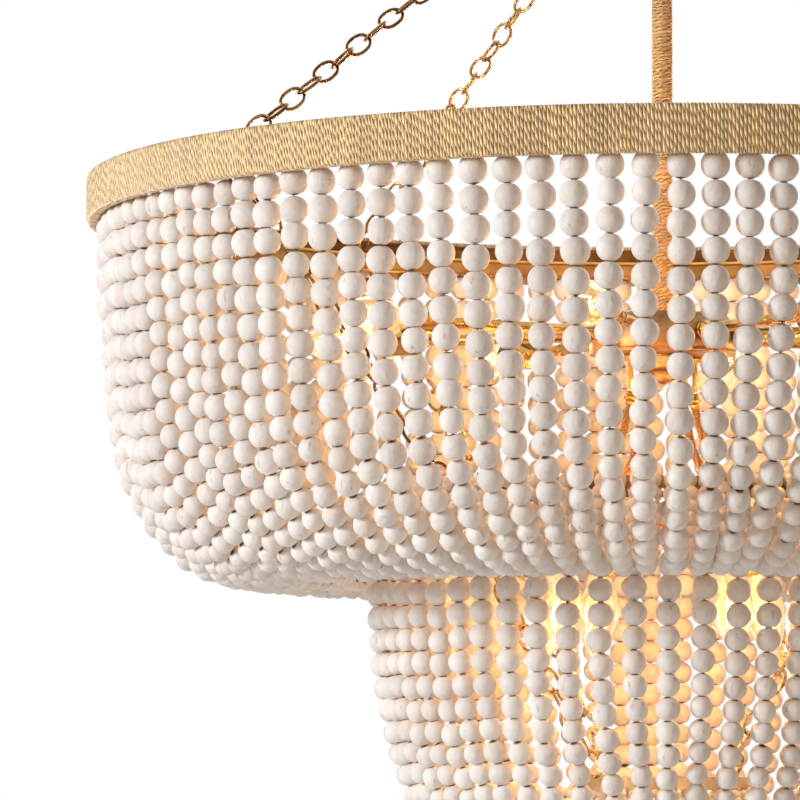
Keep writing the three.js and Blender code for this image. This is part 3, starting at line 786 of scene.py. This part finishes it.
metal_outer = HOOP_RADIUS - HOOP_WALL - 0.3
hoop_outline = [
    (metal_outer, below(31)), (metal_outer, below(4)), (441.2, below(4)), (440.3, below(4.6)),
    (440.0, below(5.6)), (440.5, below(6.8)), (441.3, below(7.6)), (441.3, below(RIDGE_DROP - 1.6)),
    (440.5, below(RIDGE_DROP - 1)), (440.0, below(RIDGE_DROP)), (440.5, below(RIDGE_DROP + 1)),
    (441.3, below(RIDGE_DROP + 1.6)), (441.3, below(27.2)), (440.5, below(27.8)), (440.0, below(29)),
    (440.3, below(30.4)), (441.2, below(31)),
]
piece("hoop_metal", lathe(hoop_outline, 224, ring=True), hoop_metal_finish(), "shade",
      ["top_hoop"], 30)
print("hoop metal out to", metal_outer, "mm")

# %% [markdown]
# The pierced rings
#
# The middle and bottom rings are bands with a row of round holes, one for each string. Boolean cuts would
# leave long thin faces. Each hole gets its own bay instead: eight faces between the bay's edge and an
# eight-sided hole, on both sides, and the hole's wall.


# %% Pierced rings
def pierced_ring(radius, wall, head, height, holes, hole, hole_drop, first=0.0):
    """A band with a row of holes; hole is a hole's radius, and first the azimuth of one."""
    half = math.pi / holes
    foot, middle = head - height, head - hole_drop
    edge = [(-1, head), (0, head), (1, head), (1, middle), (1, foot), (0, foot), (-1, foot), (-1, middle)]
    bays = []
    for bay in range(holes):
        centre = math.radians(first) + 2 * half * bay
        points = []
        for r in (radius, radius - wall):
            for side, height_there in edge:
                a = centre + side * half
                points.append((r * math.sin(a), -r * math.cos(a), height_there))
            for k in range(8):
                turn = math.radians(135 - 45 * k)
                a = centre + hole * math.cos(turn) / radius
                points.append((r * math.sin(a), -r * math.cos(a), middle + hole * math.sin(turn)))
        faces = []
        for k in range(8):
            n = (k + 1) % 8
            faces += [(k, n, 8 + n, 8 + k), (16 + n, 16 + k, 24 + k, 24 + n), (8 + k, 8 + n, 24 + n, 24 + k)]
        faces += [(k, 16 + k, 16 + k + 1, k + 1) for k in (0, 1, 4, 5)]
        bays.append((np.array(points), faces, [(0.0, 0.0)] * (4 * len(faces))))
    return merge(*bays)


print("faces in a bay:", len(pierced_ring(10, 1, 0, 4, 1, 1, 2)[1]))


# %% [markdown]
# Both rings
#
# Neighbouring bays have the edge between them twice, and it would show as a crease. Merge by Distance, here
# as bmesh's `remove_doubles`, welds the two into one. The middle ring is shaded by the beads, so its brass
# is painted darker, as painted shade. The bottom ring catches the lower lamps, so its brass is painted pale,
# as painted light.

# %% Both rings
WELD = 0.00002  # points that are nearer than this, in metres, become one


def welded(made):
    """The piece with its bays joined, so that no inner edge shows."""
    work = bmesh.new()
    work.from_mesh(made.data)
    bmesh.ops.remove_doubles(work, verts=work.verts, dist=WELD)
    bmesh.ops.recalc_face_normals(work, faces=work.faces)
    work.to_mesh(made.data)
    work.free()
    made.data.set_sharp_from_angle(angle=math.radians(30))
    print(made.name, "has", len(made.data.polygons), "faces")


# painted shade and painted light: the middle ring's brass is darker, the bottom ring's paler
SHADE_PAINTED_BRASS = metal("brass with painted shade", "c98a48", "a06a34", 0.34)
LAMPLIT_PAINTED_BRASS = metal("brass with painted lamplight", "d8c09a", "b59a70", 0.3)
welded(piece("ring_middle", pierced_ring(226, 4, below(246), 16, UPPER_COUNT, 1.3, 10.5), SHADE_PAINTED_BRASS,
             "shade", ["middle_ring"]))
welded(piece("ring_bottom", pierced_ring(71, 2, below(470), 15, LOWER_COUNT, 1.2, 9, STRAND_AZIMUTH),
             LAMPLIT_PAINTED_BRASS, "shade", ["bottom_ring"]))


# %% [markdown]
# Antiqued links
#
# The chains were blackened and then rubbed, so each link has its own place between dark and bright, black
# patches and a pale rim where light slides along the wire. An extra light could draw the rim, but only for
# one view. Layer Weight finds it from any side, and the copy's tone picks the place between the colours.

# %% Link finish
def link_finish(name, dark, light):
    p = Paint(name, Metallic=1.0, Roughness=0.25)
    rim = p.node("ShaderNodeLayerWeight", {"Blend": 0.5}, out="Facing")
    base = p.mix(p.tone(), colour(dark), colour(light))
    base = p.mix(p.between(rim, 0.4, 0.75, 0, 0.9), base, colour("f4d09a"))
    patch = p.between(p.noise(160, 4), 0.48, 0.66, 0, 0.75)
    fine = p.bump(p.noise(600, 3), 0.0001, 0.3)
    return p.set(Base_Color=p.mix(patch, base, colour("38261a")), Normal=fine)


BRONZE_LINKS = link_finish("bronze links", "5c3a20", "d9ab68")
GOLD_LINKS = link_finish("gold links", "c09a62", "ecd29c")
print("links:", BRONZE_LINKS.name, GOLD_LINKS.name)

# %% [markdown]
# Chains
#
# A link is an oval of round wire, and neighbours are a quarter turn apart about the chain's line. The node
# group sets them out. An ellipse would make too pointed a link, so its sides are straightened by a power
# under 1, which needs no more points than the ellipse would.

# %% One link
LINK_LENGTH, LINK_WIDTH, LINK_WIRE, LINK_PITCH = 25.4, 16.2, 2.7, 20.2
SQUARE_SHARE = 0.86  # 1 would be an ellipse, and less has straighter sides
half_long, half_wide = (LINK_LENGTH - LINK_WIRE) / 2, (LINK_WIDTH - LINK_WIRE) / 2


def oval(angle):
    c, s = math.cos(angle), math.sin(angle)
    return (half_wide * math.copysign(abs(s) ** SQUARE_SHARE, s), 0,
            half_long * math.copysign(abs(c) ** SQUARE_SHARE, c))


link_path = [oval(2 * math.pi * (k + 0.5) / 18) for k in range(18)]
link_mesh = to_mesh("link", tube(link_path, LINK_WIRE / 2, 6, loop=True, across=(0, 1, 0)), sharp=80)
print("faces of a link:", len(link_mesh.polygons))

# %% [markdown]
# The chains' runs
#
# Four chains go up from the hoop to the stem, four hang from the hoop to the middle ring and four from
# there to the bottom ring. A perfect chain looks drawn with a ruler, so each link has a little play, and
# every other one faces the viewer, as in the photograph. The pitch is stretched to end on a whole link.

# %% Chain runs
LINK_PAST = 0.7  # how far the first and last link reach past the run's ends
LINK_PLAY, TONE_PLAY = 0.33, 0.4  # a link's roll in radians, and its share of brightness
CHAIN_AZIMUTHS = [-45.5, 44.5, 134.5, 217]
CHAIN_LIT_TONES = [0.0, 0.2, 0.4, 0.55]  # painted light: the far chains are lit more, so their links are painted brighter
CHAIN_RING_HEIGHT = -105
CHAIN_RUNS = {
    "upper": ((20.3, CHAIN_RING_HEIGHT + 2.5), (440.9, below(11.5)), BRONZE_LINKS, "bronze"),
    "middle": ((440.9, below(24)), (226.3, below(251)), BRONZE_LINKS, "bronze"),
    "lower": ((221.7, below(257)), (70, below(469.7)), GOLD_LINKS, "brass"),
}
for tier, (start, end, finish, slot) in CHAIN_RUNS.items():
    places, turns, tones = [], [], []
    for azimuth, darkest in zip(CHAIN_AZIMUTHS, CHAIN_LIT_TONES):
        first, last = at(azimuth, *start), at(azimuth, *end)
        along = (last - first).normalized()
        length = (last - first).length
        links = round((length - (LINK_LENGTH - LINK_PITCH)) / LINK_PITCH)
        pitch = (length - LINK_LENGTH + 2 * LINK_PAST) / (links - 1)
        upright = Vector((0, 0, 1)).rotation_difference(along).to_matrix()
        view = upright.transposed() @ ahead
        facing = math.atan2(-view.x, view.y)
        for k in range(links):
            places.append(first + along * (LINK_LENGTH / 2 - LINK_PAST + k * pitch))
            roll = facing + math.radians(90 * (k % 2)) + random.normal(0, LINK_PLAY)
            turns.append((upright @ Matrix.Rotation(roll, 3, "Z")).to_euler())
            tones.append(darkest + random.uniform(0, TONE_PLAY))
    spread(f"{tier}_links", link_mesh, places, turns, np.ones((len(places), 3)), tones, finish, "shade",
           [f"{tier}_chain_{k + 1}" for k in range(4)])

# %% [markdown]
# The stem
#
# The stem is a brass tube with cord wound round it. One long helix would do, but all of it would have one
# tone. So one turn is modelled and repeated up the tube, as on the hoop, and each has its own tone. The
# turns differ a little in width, so that the outline is soft.

# %% Stem and its winding
STEM_RADIUS, STEM_TOP, STEM_FOOT, STEM_PITCH = 8.5, -45.3, -504.2, 2.7
FORK_FOOT = -33.0
stem_turns = int((STEM_TOP - STEM_FOOT - 2 * CORD) / STEM_PITCH)
stem_path = [((STEM_RADIUS - CORD) * math.sin(a), -(STEM_RADIUS - CORD) * math.cos(a),
              STEM_PITCH * (a / (2 * math.pi) - 0.5)) for a in np.linspace(0, 2 * math.pi, 19)]
stem_turn = to_mesh("stem_turn", tube(stem_path, CORD, 6, across=(0, 0, 1)), sharp=80)
heights = STEM_FOOT + CORD + STEM_PITCH * (np.arange(stem_turns) + 0.5)
spread("stem_winding", stem_turn, [(0, 0, h) for h in heights], [(0, 0, 0)] * stem_turns,
       [(1 + random.uniform(-0.02, 0.01),) * 2 + (1,) for _ in range(stem_turns)],
       random.uniform(0, 1, stem_turns), STEM_CORD, "stem", ["stem_wrap"])
tube_outline = [(6.35, below(128)), (6.35, FORK_FOOT - 4), (6.1, FORK_FOOT - 1.2), (5.2, FORK_FOOT - 0.3)]
piece("stem_pipe", lathe(tube_outline, 40), BRASS, "stem", ["stem_tube"])

# %% [markdown]
# Collar and chain ring
#
# A turned collar is fixed on the stem, and a loose ring with four eyes rests on it, so that the shade can
# be turned. A Boolean could join the eyes to the ring, but nobody sees that seam. So they are closed loops
# of wire that sink into the ring's edge, as brazed ones do.

# %% Collar and chain ring
EYE_OUT, EYE_RADIUS, EYE_WIRE = 16.2, 3.6, 1.3
BRONZE = metal("antique bronze", "9a6f42", "54371f", 0.32, 90)
collar_outline = [
    (8.8, -116.8), (10.2, -116.8), (10.6, -116.2), (10.6, -115.4), (12.3, -113.6), (12.5, -112.6),
    (12.5, -109.2), (12.2, -108.5), (11.6, -108.0), (8.8, -107.9),
]
piece("stem_collar", lathe(collar_outline, 48, ring=True), BRASS, "stem", ["chain_collar"])
ring_outline = [(r, CHAIN_RING_HEIGHT + h) for r, h in (
    (9.6, -2.4), (14.0, -2.5), (15.0, -1.6), (15.0, 1.6), (14.0, 2.5), (9.6, 2.4))]
eyes = []
for azimuth in CHAIN_AZIMUTHS:
    direction = outward(azimuth)
    side = direction.cross(Vector((0, 0, 1)))
    centre = at(azimuth, EYE_OUT, CHAIN_RING_HEIGHT)
    eye = [tuple(centre + EYE_RADIUS * (math.cos(a) * direction + math.sin(a) * side))
           for a in np.arange(16) * math.pi / 8]
    eyes.append(tube(eye, EYE_WIRE, 8, loop=True, across=(0, 0, 1)))
piece("chain_eyes", merge(lathe(ring_outline, 64, ring=True), *eyes), BRONZE, "chain_ring",
      ["chain_ring"])
print("eyes:", len(eyes))

# %% [markdown]
# The hub
#
# The hub is a spun drum with a bevelled top and a stepped foot, and a turned finial closes it below. A
# cylinder with a Bevel modifier comes near, but rounds every edge alike. So both are outlines turned round
# the stem. Their small steps catch the light as thin bright lines, as on the real one.

# %% Hub
HUB_TOP, HUB_HEIGHT, HUB_RADIUS = 104.5, 32.5, 58
HUB_BRASS = metal("satin brass", "a58258", "7d5d39", 0.38)
hub_head, hub_foot = below(HUB_TOP), below(HUB_TOP + HUB_HEIGHT)
hub_outline = [
    (6.7, hub_head), (9.5, hub_head), (9.8, hub_head - 0.4), (49.5, hub_head - 1.2),
    (51.5, hub_head - 1.8), (HUB_RADIUS - 0.8, hub_head - 7.4), (HUB_RADIUS, hub_head - 8.6),
    (HUB_RADIUS, hub_foot + 3.4), (HUB_RADIUS - 0.7, hub_foot + 2.6), (HUB_RADIUS - 0.7, hub_foot + 1.9),
    (HUB_RADIUS, hub_foot + 1.2), (HUB_RADIUS, hub_foot + 0.5), (HUB_RADIUS - 0.6, hub_foot),
    (8, hub_foot), (8, hub_foot + 2), (HUB_RADIUS - 2.5, hub_foot + 2.2),
    (HUB_RADIUS - 2.5, hub_head - 9), (49.5, hub_head - 3.4), (6.7, hub_head - 2.4),
]
piece("hub_drum", lathe(hub_outline, 96, ring=True), HUB_BRASS, "stem", ["lamp_hub"])
finial_outline = [
    (3, hub_foot + 1.5), (23, hub_foot + 0.8), (24.4, hub_foot - 0.6), (24.4, hub_foot - 3),
    (22.9, hub_foot - 4.2), (21.8, hub_foot - 6.6), (18, hub_foot - 9.6), (14.8, hub_foot - 10.8),
    (14.2, hub_foot - 11.8), (15, hub_foot - 13), (13.9, hub_foot - 16), (10.6, hub_foot - 19),
    (6.2, hub_foot - 20.8), (3.6, hub_foot - 21.3), (3.2, hub_foot - 22.8), (1.6, hub_foot - 24),
]
piece("hub_finial", lathe(finial_outline, 48), HUB_BRASS, "stem")
print("hub from", hub_foot, "to", hub_head, "mm")

# %% [markdown]
# The upper arms
#
# Eight arms screw into the drum's side: a collar, a slim bar with a small ring on it, and a candle cup.
# Each could be put together from parts, but all of an arm is turned about one axis. So it is one outline,
# turned upright and then laid over. The cup's inside belongs to it, because one looks in past the bulb.

# %% Upper arms
ARM_COUNT, ARM_AZIMUTH, ARM_START, ARM_BEAD, BAR_END, CUP_END = 8, -12, 58.3, 150, 200.3, 235.3
arm_height = below(HUB_TOP + HUB_HEIGHT / 2)


def aimed(shape, foot, direction):
    """The shape with its Z axis along the direction and its origin at the foot."""
    turn = np.array(Vector((0, 0, 1)).rotation_difference(Vector(direction)).to_matrix())
    return shape[0] @ turn.T + np.array(foot), shape[1], shape[2]


arm = lathe([
    (6.2, ARM_START), (7.5, ARM_START + 0.6), (7.5, ARM_START + 2.6), (6.6, ARM_START + 3.2),
    (7.2, ARM_START + 4.0), (7.2, ARM_START + 6.6), (5.6, ARM_START + 8), (4.5, ARM_START + 9),
    (4.5, ARM_BEAD), (5.2, ARM_BEAD + 0.6), (5.2, ARM_BEAD + 2.6), (4.5, ARM_BEAD + 3.2),
    (4.5, BAR_END - 9), (5.4, BAR_END - 8), (5.4, BAR_END - 6), (6.2, BAR_END - 4.5),
    (9.6, BAR_END - 1.2), (12.2, BAR_END), (12.5, BAR_END + 1), (12.5, BAR_END + 5), (12.0, BAR_END + 5.6),
    (12.0, CUP_END - 3), (12.5, CUP_END - 2.4), (12.5, CUP_END - 0.5), (12.1, CUP_END), (10.2, CUP_END),
    (9.9, CUP_END - 0.8), (9.9, CUP_END - 24), (7.6, CUP_END - 25),
], 32)
for k in range(ARM_COUNT):
    direction = outward(ARM_AZIMUTH + 360 / ARM_COUNT * k)
    piece(f"arm_{k + 1}", aimed(arm, (0, 0, arm_height), direction), BRASS, "stem",
          [f"lamp_arm_{k + 1}"])
print("arms:", ARM_COUNT, "at", arm_height, "mm")

# %% [markdown]
# The lower lamps
#
# Four slim rods under the hub end in turned knobs. A conduit slants outwards from each to a golden sleeve,
# which holds a bulb that points down. Rod and sleeve are turned, and the conduit is a tube on a soft curve
# through four points, so that it leaves the knob and meets the sleeve without a kink.

# %% Rods, conduits and sleeves
LOWER_LAMPS, LOWER_AZIMUTH = 4, -57
ROD_OUT, ROD_LENGTH, CONDUIT_RADIUS = 30.5, 31, 2.2
SLEEVE_OUT, SLEEVE_DROP, SLEEVE_LENGTH, SLEEVE_TILT = 75, 117, 56, math.radians(14)
GOLD = metal("bright brass", "edc06a", "cb9440", 0.22)
rod_top, sleeve_top = hub_foot - 0.3, hub_foot - SLEEVE_DROP
knob_top = rod_top - ROD_LENGTH
rod = lathe([
    (5.4, rod_top), (5.6, rod_top - 1.4), (4.4, rod_top - 2.6), (3.0, rod_top - 4), (2.2, rod_top - 6),
    (2.2, knob_top + 2), (3.6, knob_top + 0.6), (3.9, knob_top - 0.6), (3.0, knob_top - 1.4),
    (4.9, knob_top - 2.4), (5.3, knob_top - 3.6), (4.4, knob_top - 4.7), (3.4, knob_top - 5.2),
    (4.2, knob_top - 6.2), (4.4, knob_top - 7.2), (3.5, knob_top - 8.4), (3.2, knob_top - 10),
], 24)
sleeve = lathe([
    (3.4, -2.4), (4.2, -0.6), (6.4, 1.2), (8.8, 3), (9.5, 4.6), (9.5, 8), (9.0, 8.5), (9.0, 51),
    (9.5, 51.6), (9.5, 55.4), (9.1, SLEEVE_LENGTH), (7.9, SLEEVE_LENGTH), (7.7, 55), (7.7, 31.6),
    (6.9, 30.6),
], 32)
conduit_line = [(ROD_OUT, knob_top - 9), (44, hub_foot - 79), (66, hub_foot - 101), (SLEEVE_OUT, sleeve_top)]


def lower_lamp(k):
    """A lower lamp's azimuth, where its sleeve starts and where it points."""
    azimuth = LOWER_AZIMUTH + 360 / LOWER_LAMPS * k
    down = outward(azimuth) * math.sin(SLEEVE_TILT) - Vector((0, 0, math.cos(SLEEVE_TILT)))
    return azimuth, at(azimuth, SLEEVE_OUT, sleeve_top), down


conduits = []
for k in range(LOWER_LAMPS):
    azimuth, head, down = lower_lamp(k)
    conduit = smooth([tuple(at(azimuth, *spot)) for spot in conduit_line], 8)
    conduits.append(conduit)
    shape = merge(aimed(rod, outward(azimuth) * ROD_OUT, (0, 0, 1)), tube(conduit, CONDUIT_RADIUS, 10),
                  aimed(sleeve, head, down))
    piece(f"lower_arm_{k + 1}", shape, GOLD, "stem", [f"lower_lamp_arm_{k + 1}"])
print("conduit length:", round(distances(conduits[0])[-1], 1), "mm")

# %% [markdown]
# Cord on the conduits
#
# Thin brown cord is wound round each conduit. On a bent tube a repeated ring would gape on the outside of
# the bend, so this one is a real helix. At every step, two directions at right angles to the conduit are
# found, and the cord's centre goes round them.

# %% Wound conduits
COIL_PITCH, COIL_STEPS, COIL_OUT, COIL_CORD = 2.1, 8, 2.5, 1.1
COIL_AHEAD = 2  # how far before and after a point the conduit's direction is taken


def helix_round(line, beside):
    """A helix round a curved line; beside is a direction across the line's plane."""
    along = distances(line)
    count = int(along[-1] / COIL_PITCH) * COIL_STEPS
    spots = along[-1] * np.arange(count + 1) / count
    aims = points_at(spots + COIL_AHEAD, along, line) - points_at(spots - COIL_AHEAD, along, line)
    sideways = np.cross(aims, beside)
    other = np.cross(aims, sideways)
    sideways /= np.linalg.norm(sideways, axis=1)[:, None]
    other /= np.linalg.norm(other, axis=1)[:, None]
    angles = (2 * math.pi * np.arange(count + 1) / COIL_STEPS)[:, None]
    return points_at(spots, along, line) + COIL_OUT * (np.cos(angles) * sideways + np.sin(angles) * other)


for k, conduit in enumerate(conduits):
    beside = outward(lower_lamp(k)[0]).cross(Vector((0, 0, 1)))
    coil = helix_round(conduit, beside)
    piece(f"conduit_cord_{k + 1}", tube(coil, COIL_CORD, 5), BROWN_CORD, "stem")
print("points in the last helix:", len(coil))

# %% [markdown]
# A candle bulb
#
# A clear candle bulb is a thin glass shell on a threaded brass base, with a glass stem inside and six hot
# filaments in a zigzag between wires. The shell needs an inside and an outside, or the light would bend as
# in a solid drop. So the outline goes up the outside and comes back down one wall's thickness inside.

# %% Bulb shapes
BULB_SHARES = [(0, 0.4), (0.05, 0.47), (0.2, 0.8), (0.42, 1), (0.62, 0.86), (0.8, 0.55), (0.93, 0.2),
               (0.985, 0.09), (1, 0.02)]
BULB_BELLY, BULB_LENGTH, GLASS_WALL, TIP_WALL = 17.3, 70, 0.8, 1.2
TIP_OUTSIDE, TIP_INSIDE = 0.25, 0.15  # the least radii, which keep the tip open for the lathe
THREADS, THREAD_PITCH, THREAD_FOOT = 6, 3, -21.5
FILAMENT_OUT, FILAMENT_LOW, FILAMENT_HIGH = 5.2, 26, 47
SUPPORT_WIRE, HOT_WIRE, MOUNT_NECK = 0.22, 0.5, 17

outside = smooth([(wide * BULB_BELLY, along * BULB_LENGTH) for along, wide in BULB_SHARES], 4)
outside[:, 0] = np.maximum(outside[:, 0], TIP_OUTSIDE)
inside = [(max(r - GLASS_WALL, TIP_INSIDE), min(h, BULB_LENGTH - TIP_WALL)) for r, h in outside[::-1]]
shell = lathe([tuple(p) for p in outside] + inside, 28, ring=True)

thread = [(5.2, -23.7), (5.9, -22.6)]
for k in range(THREADS):
    thread += [(6.7, THREAD_FOOT + THREAD_PITCH * k), (6.2, THREAD_FOOT + THREAD_PITCH * (k + 0.5))]
thread += [(6.7, -3), (6.7, 0.4), (6.0, 0.9)]
mount = lathe([(4.6, 0.5), (3.4, 4), (1.6, 11), (1.4, MOUNT_NECK), (0.8, 19)], 12)


def corner(k):
    """A corner of the filament's zigzag."""
    a = k * math.pi / 3
    height = FILAMENT_LOW if k % 2 else FILAMENT_HIGH
    return (FILAMENT_OUT * math.cos(a), FILAMENT_OUT * math.sin(a), height)


supports, hot = [], []
for k in range(6):
    a = k * math.pi / 3
    supports.append(tube([(math.cos(a), math.sin(a), MOUNT_NECK), corner(k)], SUPPORT_WIRE, 4))
    hot.append(tube(np.linspace(corner(k), corner(k + 1), 5), HOT_WIRE, 6))
print("points in the glass:", len(shell[0]))

# %% [markdown]
# Glass and light
#
# The glass is clear, a little warm, and lets the filament show. It could be faked with a see-through
# shader, but then it wouldn't bend what is behind it, which is how one sees that it is glass. So it is
# real refracting glass, with a faint painted glow that stands in for the filament's light caught in it,
# and the filament shines by Emission.

# %% Glass and filament
FILAMENT_STRENGTH = 60


def bulb_glass():
    # painted light: a faint warm Emission on the glass, which is no lamp
    p = Paint("bulb glass", Roughness=0.0, IOR=1.45, Transmission_Weight=1.0, Emission_Strength=0.12)
    p.shader.inputs["Emission Color"].default_value = colour("ffc36b")
    return p.set(Base_Color=p.mix(p.noise(40), colour("ffffff"), colour("fff8ec")))


def hot_filament():
    p = Paint("hot filament", Roughness=0.5, Emission_Strength=FILAMENT_STRENGTH)
    heat = p.mix(p.noise(300), colour("ffd089"), colour("ffb45e"))
    return p.set(Base_Color=heat, Emission_Color=heat)


GLASS, FILAMENT = bulb_glass(), hot_filament()
print("finishes:", GLASS.name, FILAMENT.name)

# %% [markdown] Twelve lit bulbs  Eight bulbs lie in the arms' cups and four point down from the sleeves. It
# is hidden from the camera and rides on the bulb's body, so that it comes along when the lamp tilts.

# %% Bulbs
LAMP_WATTS, LAMP_COLOUR, LAMP_SIZE, LAMP_UP = 5.6, (1.0, 0.53, 0.18), 0.0195, 32
BULB_PARTS = (
    ("glass", shell, GLASS, "bulb_glass"), ("base", lathe(thread, 24), BRASS, "brass"),
    ("mount", merge(mount, *supports), STEEL, "steel"), ("filament", merge(*hot), FILAMENT, "bulb_glass"),
)


def add_bulb(name, node, foot, direction):
    for kind, shape, finish, slot in BULB_PARTS:
        nodes = [node] if kind == "glass" else []
        piece(f"{name}_{kind}", aimed(shape, foot, direction), finish, node, nodes)
    light = bpy.data.lights.new(name + "_light", "POINT")
    light.energy = LAMP_WATTS
    light.color = LAMP_COLOUR
    light.shadow_soft_size = LAMP_SIZE
    lamp = bpy.data.objects.new(name + "_light", light)
    lamp.location = (Vector(foot) + Vector(direction) * LAMP_UP) * MM
    lamp.visible_camera = lamp.visible_transmission = False
    bpy.context.scene.collection.objects.link(lamp)
    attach(lamp, node)


for k in range(ARM_COUNT):
    azimuth = ARM_AZIMUTH + 360 / ARM_COUNT * k
    add_bulb(f"bulb_{k + 1}", f"arm_bulb_{k + 1}", at(azimuth, CUP_END, arm_height), outward(azimuth))
for k in range(LOWER_LAMPS):
    _, head, down = lower_lamp(k)
    add_bulb(f"low_bulb_{k + 1}", f"lower_bulb_{k + 1}", head + down * SLEEVE_LENGTH, down)
print("lamps:", len(bpy.data.lights))

# %% [markdown]
# Ceiling fittings
#
# The canopy is a spun dish with a rolled rim, turned like the hub. The bracket, screws and swivel parts
# have their right shape in the CAD model already, so they stay: they get a metal finish, and a Bevel
# modifier of 0.3 mm, because an edge without any bevel never catches light.

# %% Canopy and swivel
SOFT_EDGE = 0.0003
canopy_outline = [
    (14, -28), (15, -28.4), (17, -28.4), (18.5, -28), (40, -28), (44, -27.3), (52, -24.2), (58, -20.4),
    (61.5, -15.5), (63.6, -9.5), (64.2, -6), (65, -4.6), (65, -1.2), (64.5, -0.5), (63.5, -0.5),
    (63.5, -4.6), (62.4, -9), (59.8, -14.8), (56.6, -19.2), (51, -22.8), (43.6, -25.7), (40, -26.5),
    (14, -26.5),
]
piece("canopy_dish", lathe(canopy_outline, 96, ring=True), BRASS, "ceiling", ["canopy"])
KEPT = {
    "ceiling_bracket": STEEL, "canopy_screw_1": BRASS, "canopy_screw_2": BRASS,
    "swivel_yoke": STEEL, "swivel_cross": STEEL, "swivel_fork": BRASS,
}
for node, finish in KEPT.items():
    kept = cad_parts[node]
    kept.data.materials.clear()
    kept.data.materials.append(finish)
    softened = kept.modifiers.new("soft edges", "BEVEL")
    softened.width = SOFT_EDGE
    softened.segments = 2
    softened.limit_method = "ANGLE"
print("nodes kept from the CAD model:", len(KEPT))

# %% [markdown]
# The surroundings
#
# The photograph has a plain white background, and yet soft shadows between the beads. One world can't do
# both: as bright as white paper it would wash the shadows out. So the world has two faces. The camera,
# metal and glass see it white, by way of Light Path, and everything else is lit by a weaker warm one.

# %% World
scene = bpy.context.scene
scene.view_settings.view_transform = "Standard"
world = bpy.data.worlds.new("studio")
scene.world = world
world.use_nodes = True
tree = world.node_tree
tree.nodes.clear()


def world_node(kind, **settings):
    made = tree.nodes.new(kind)
    for key, value in settings.items():
        setattr(made, key, value)
    return made


rays = world_node("ShaderNodeLightPath")
soft, white = world_node("ShaderNodeBackground"), world_node("ShaderNodeBackground")
soft.inputs["Color"].default_value = (1, 0.9, 0.79, 1)
soft.inputs["Strength"].default_value = 0.23
white.inputs["Color"].default_value = (1, 1, 1, 1)
seen = world_node("ShaderNodeMath", operation="MAXIMUM")
seen_too = world_node("ShaderNodeMath", operation="MAXIMUM")
either = world_node("ShaderNodeMixShader")
ending = world_node("ShaderNodeOutputWorld")
for start, end in (
    (rays.outputs["Is Camera Ray"], seen.inputs[0]), (rays.outputs["Is Glossy Ray"], seen.inputs[1]),
    (seen.outputs[0], seen_too.inputs[0]), (rays.outputs["Is Transmission Ray"], seen_too.inputs[1]),
    (seen_too.outputs[0], either.inputs[0]), (soft.outputs[0], either.inputs[1]),
    (white.outputs[0], either.inputs[2]), (either.outputs[0], ending.inputs["Surface"]),
):
    tree.links.new(start, end)
print("world nodes:", len(tree.nodes))

# %% [markdown]
# Studio lights
#
# In the photograph the left is bright and cool and the right is in warm shade. A sky picture could light
# it, but its sides couldn't be tuned one by one. So a large soft key from the left does the first, a weak
# orange fill from the right the second, and one from behind keeps the far strings from going flat.

# %% Lights
MIDDLE = (0, 0, -0.65)  # what the lights aim at


def soft_box(name, place, size, power, tint):
    light = bpy.data.lights.new(name, "AREA")
    light.shape = "DISK"
    light.size = size
    light.energy = power
    light.color = tint
    lamp = bpy.data.objects.new(name, light)
    lamp.location = place
    lamp.rotation_euler = (Vector(MIDDLE) - Vector(place)).to_track_quat("-Z", "Y").to_euler()
    lamp.visible_camera = False
    scene.collection.objects.link(lamp)


soft_box("key", (-3.1, -1.85, 0.1), 1.2, 100, (0.97, 0.985, 1))
soft_box("fill", (1.6, -3.3, -0.5), 2.2, 12, (1, 0.58, 0.27))
soft_box("back", (2.6, 3.2, 0.6), 2.0, 50, (1, 0.97, 0.93))
print("lights:", len(bpy.data.lights))

# %% [markdown]
# The floor
#
# The lamp hangs well above a pale floor that keeps its shadow. A plain floor would look grey against the
# white background. So it glows for the camera, metal and glass alone, which adds no light to the beads.
# Seen from underneath it is clear, so that a view from below isn't blocked.

# %% Floor
FLOOR_HEIGHT, FLOOR_REACH, FLOOR_GLOW = -1.9, 9, 0.72


def floor_material():
    p = Paint("pale floor", Roughness=0.9)
    shade = p.mix(p.noise(3), colour("f7f5f2"), colour("f2f0ed"))
    looked_at = p.node("ShaderNodeLightPath", out="Is Camera Ray")
    for ray in ("Is Glossy Ray", "Is Transmission Ray"):
        looked_at = p.math("MAXIMUM", looked_at, p.node("ShaderNodeLightPath", out=ray))
    p.shader.inputs["Emission Color"].default_value = (1, 1, 1, 1)
    clear = p.node("ShaderNodeBsdfTransparent")
    below_it = p.node("ShaderNodeNewGeometry", out="Backfacing")
    surface = p.node("ShaderNodeMixShader", {0: below_it, 1: p.shader.outputs[0], 2: clear})
    p.tree.links.new(surface, p.tree.nodes["Material Output"].inputs["Surface"])
    return p.set(Base_Color=shade, Emission_Strength=p.math("MULTIPLY", looked_at, FLOOR_GLOW))


corners = [(x * FLOOR_REACH, y * FLOOR_REACH, FLOOR_HEIGHT) for x, y in ((-1, -1), (1, -1), (1, 1), (-1, 1))]
floor_mesh = bpy.data.meshes.new("floor")
floor_mesh.from_pydata(corners, [], [(0, 1, 2, 3)])
floor_mesh.materials.append(floor_material())
floor = bpy.data.objects.new("floor", floor_mesh)
scene.collection.objects.link(floor)
print("floor at", FLOOR_HEIGHT, "m")

# %% [markdown]
# Sizes and finish
#
# The real lamp's size is the CAD model's, and the finished pieces are built to stay inside that box.
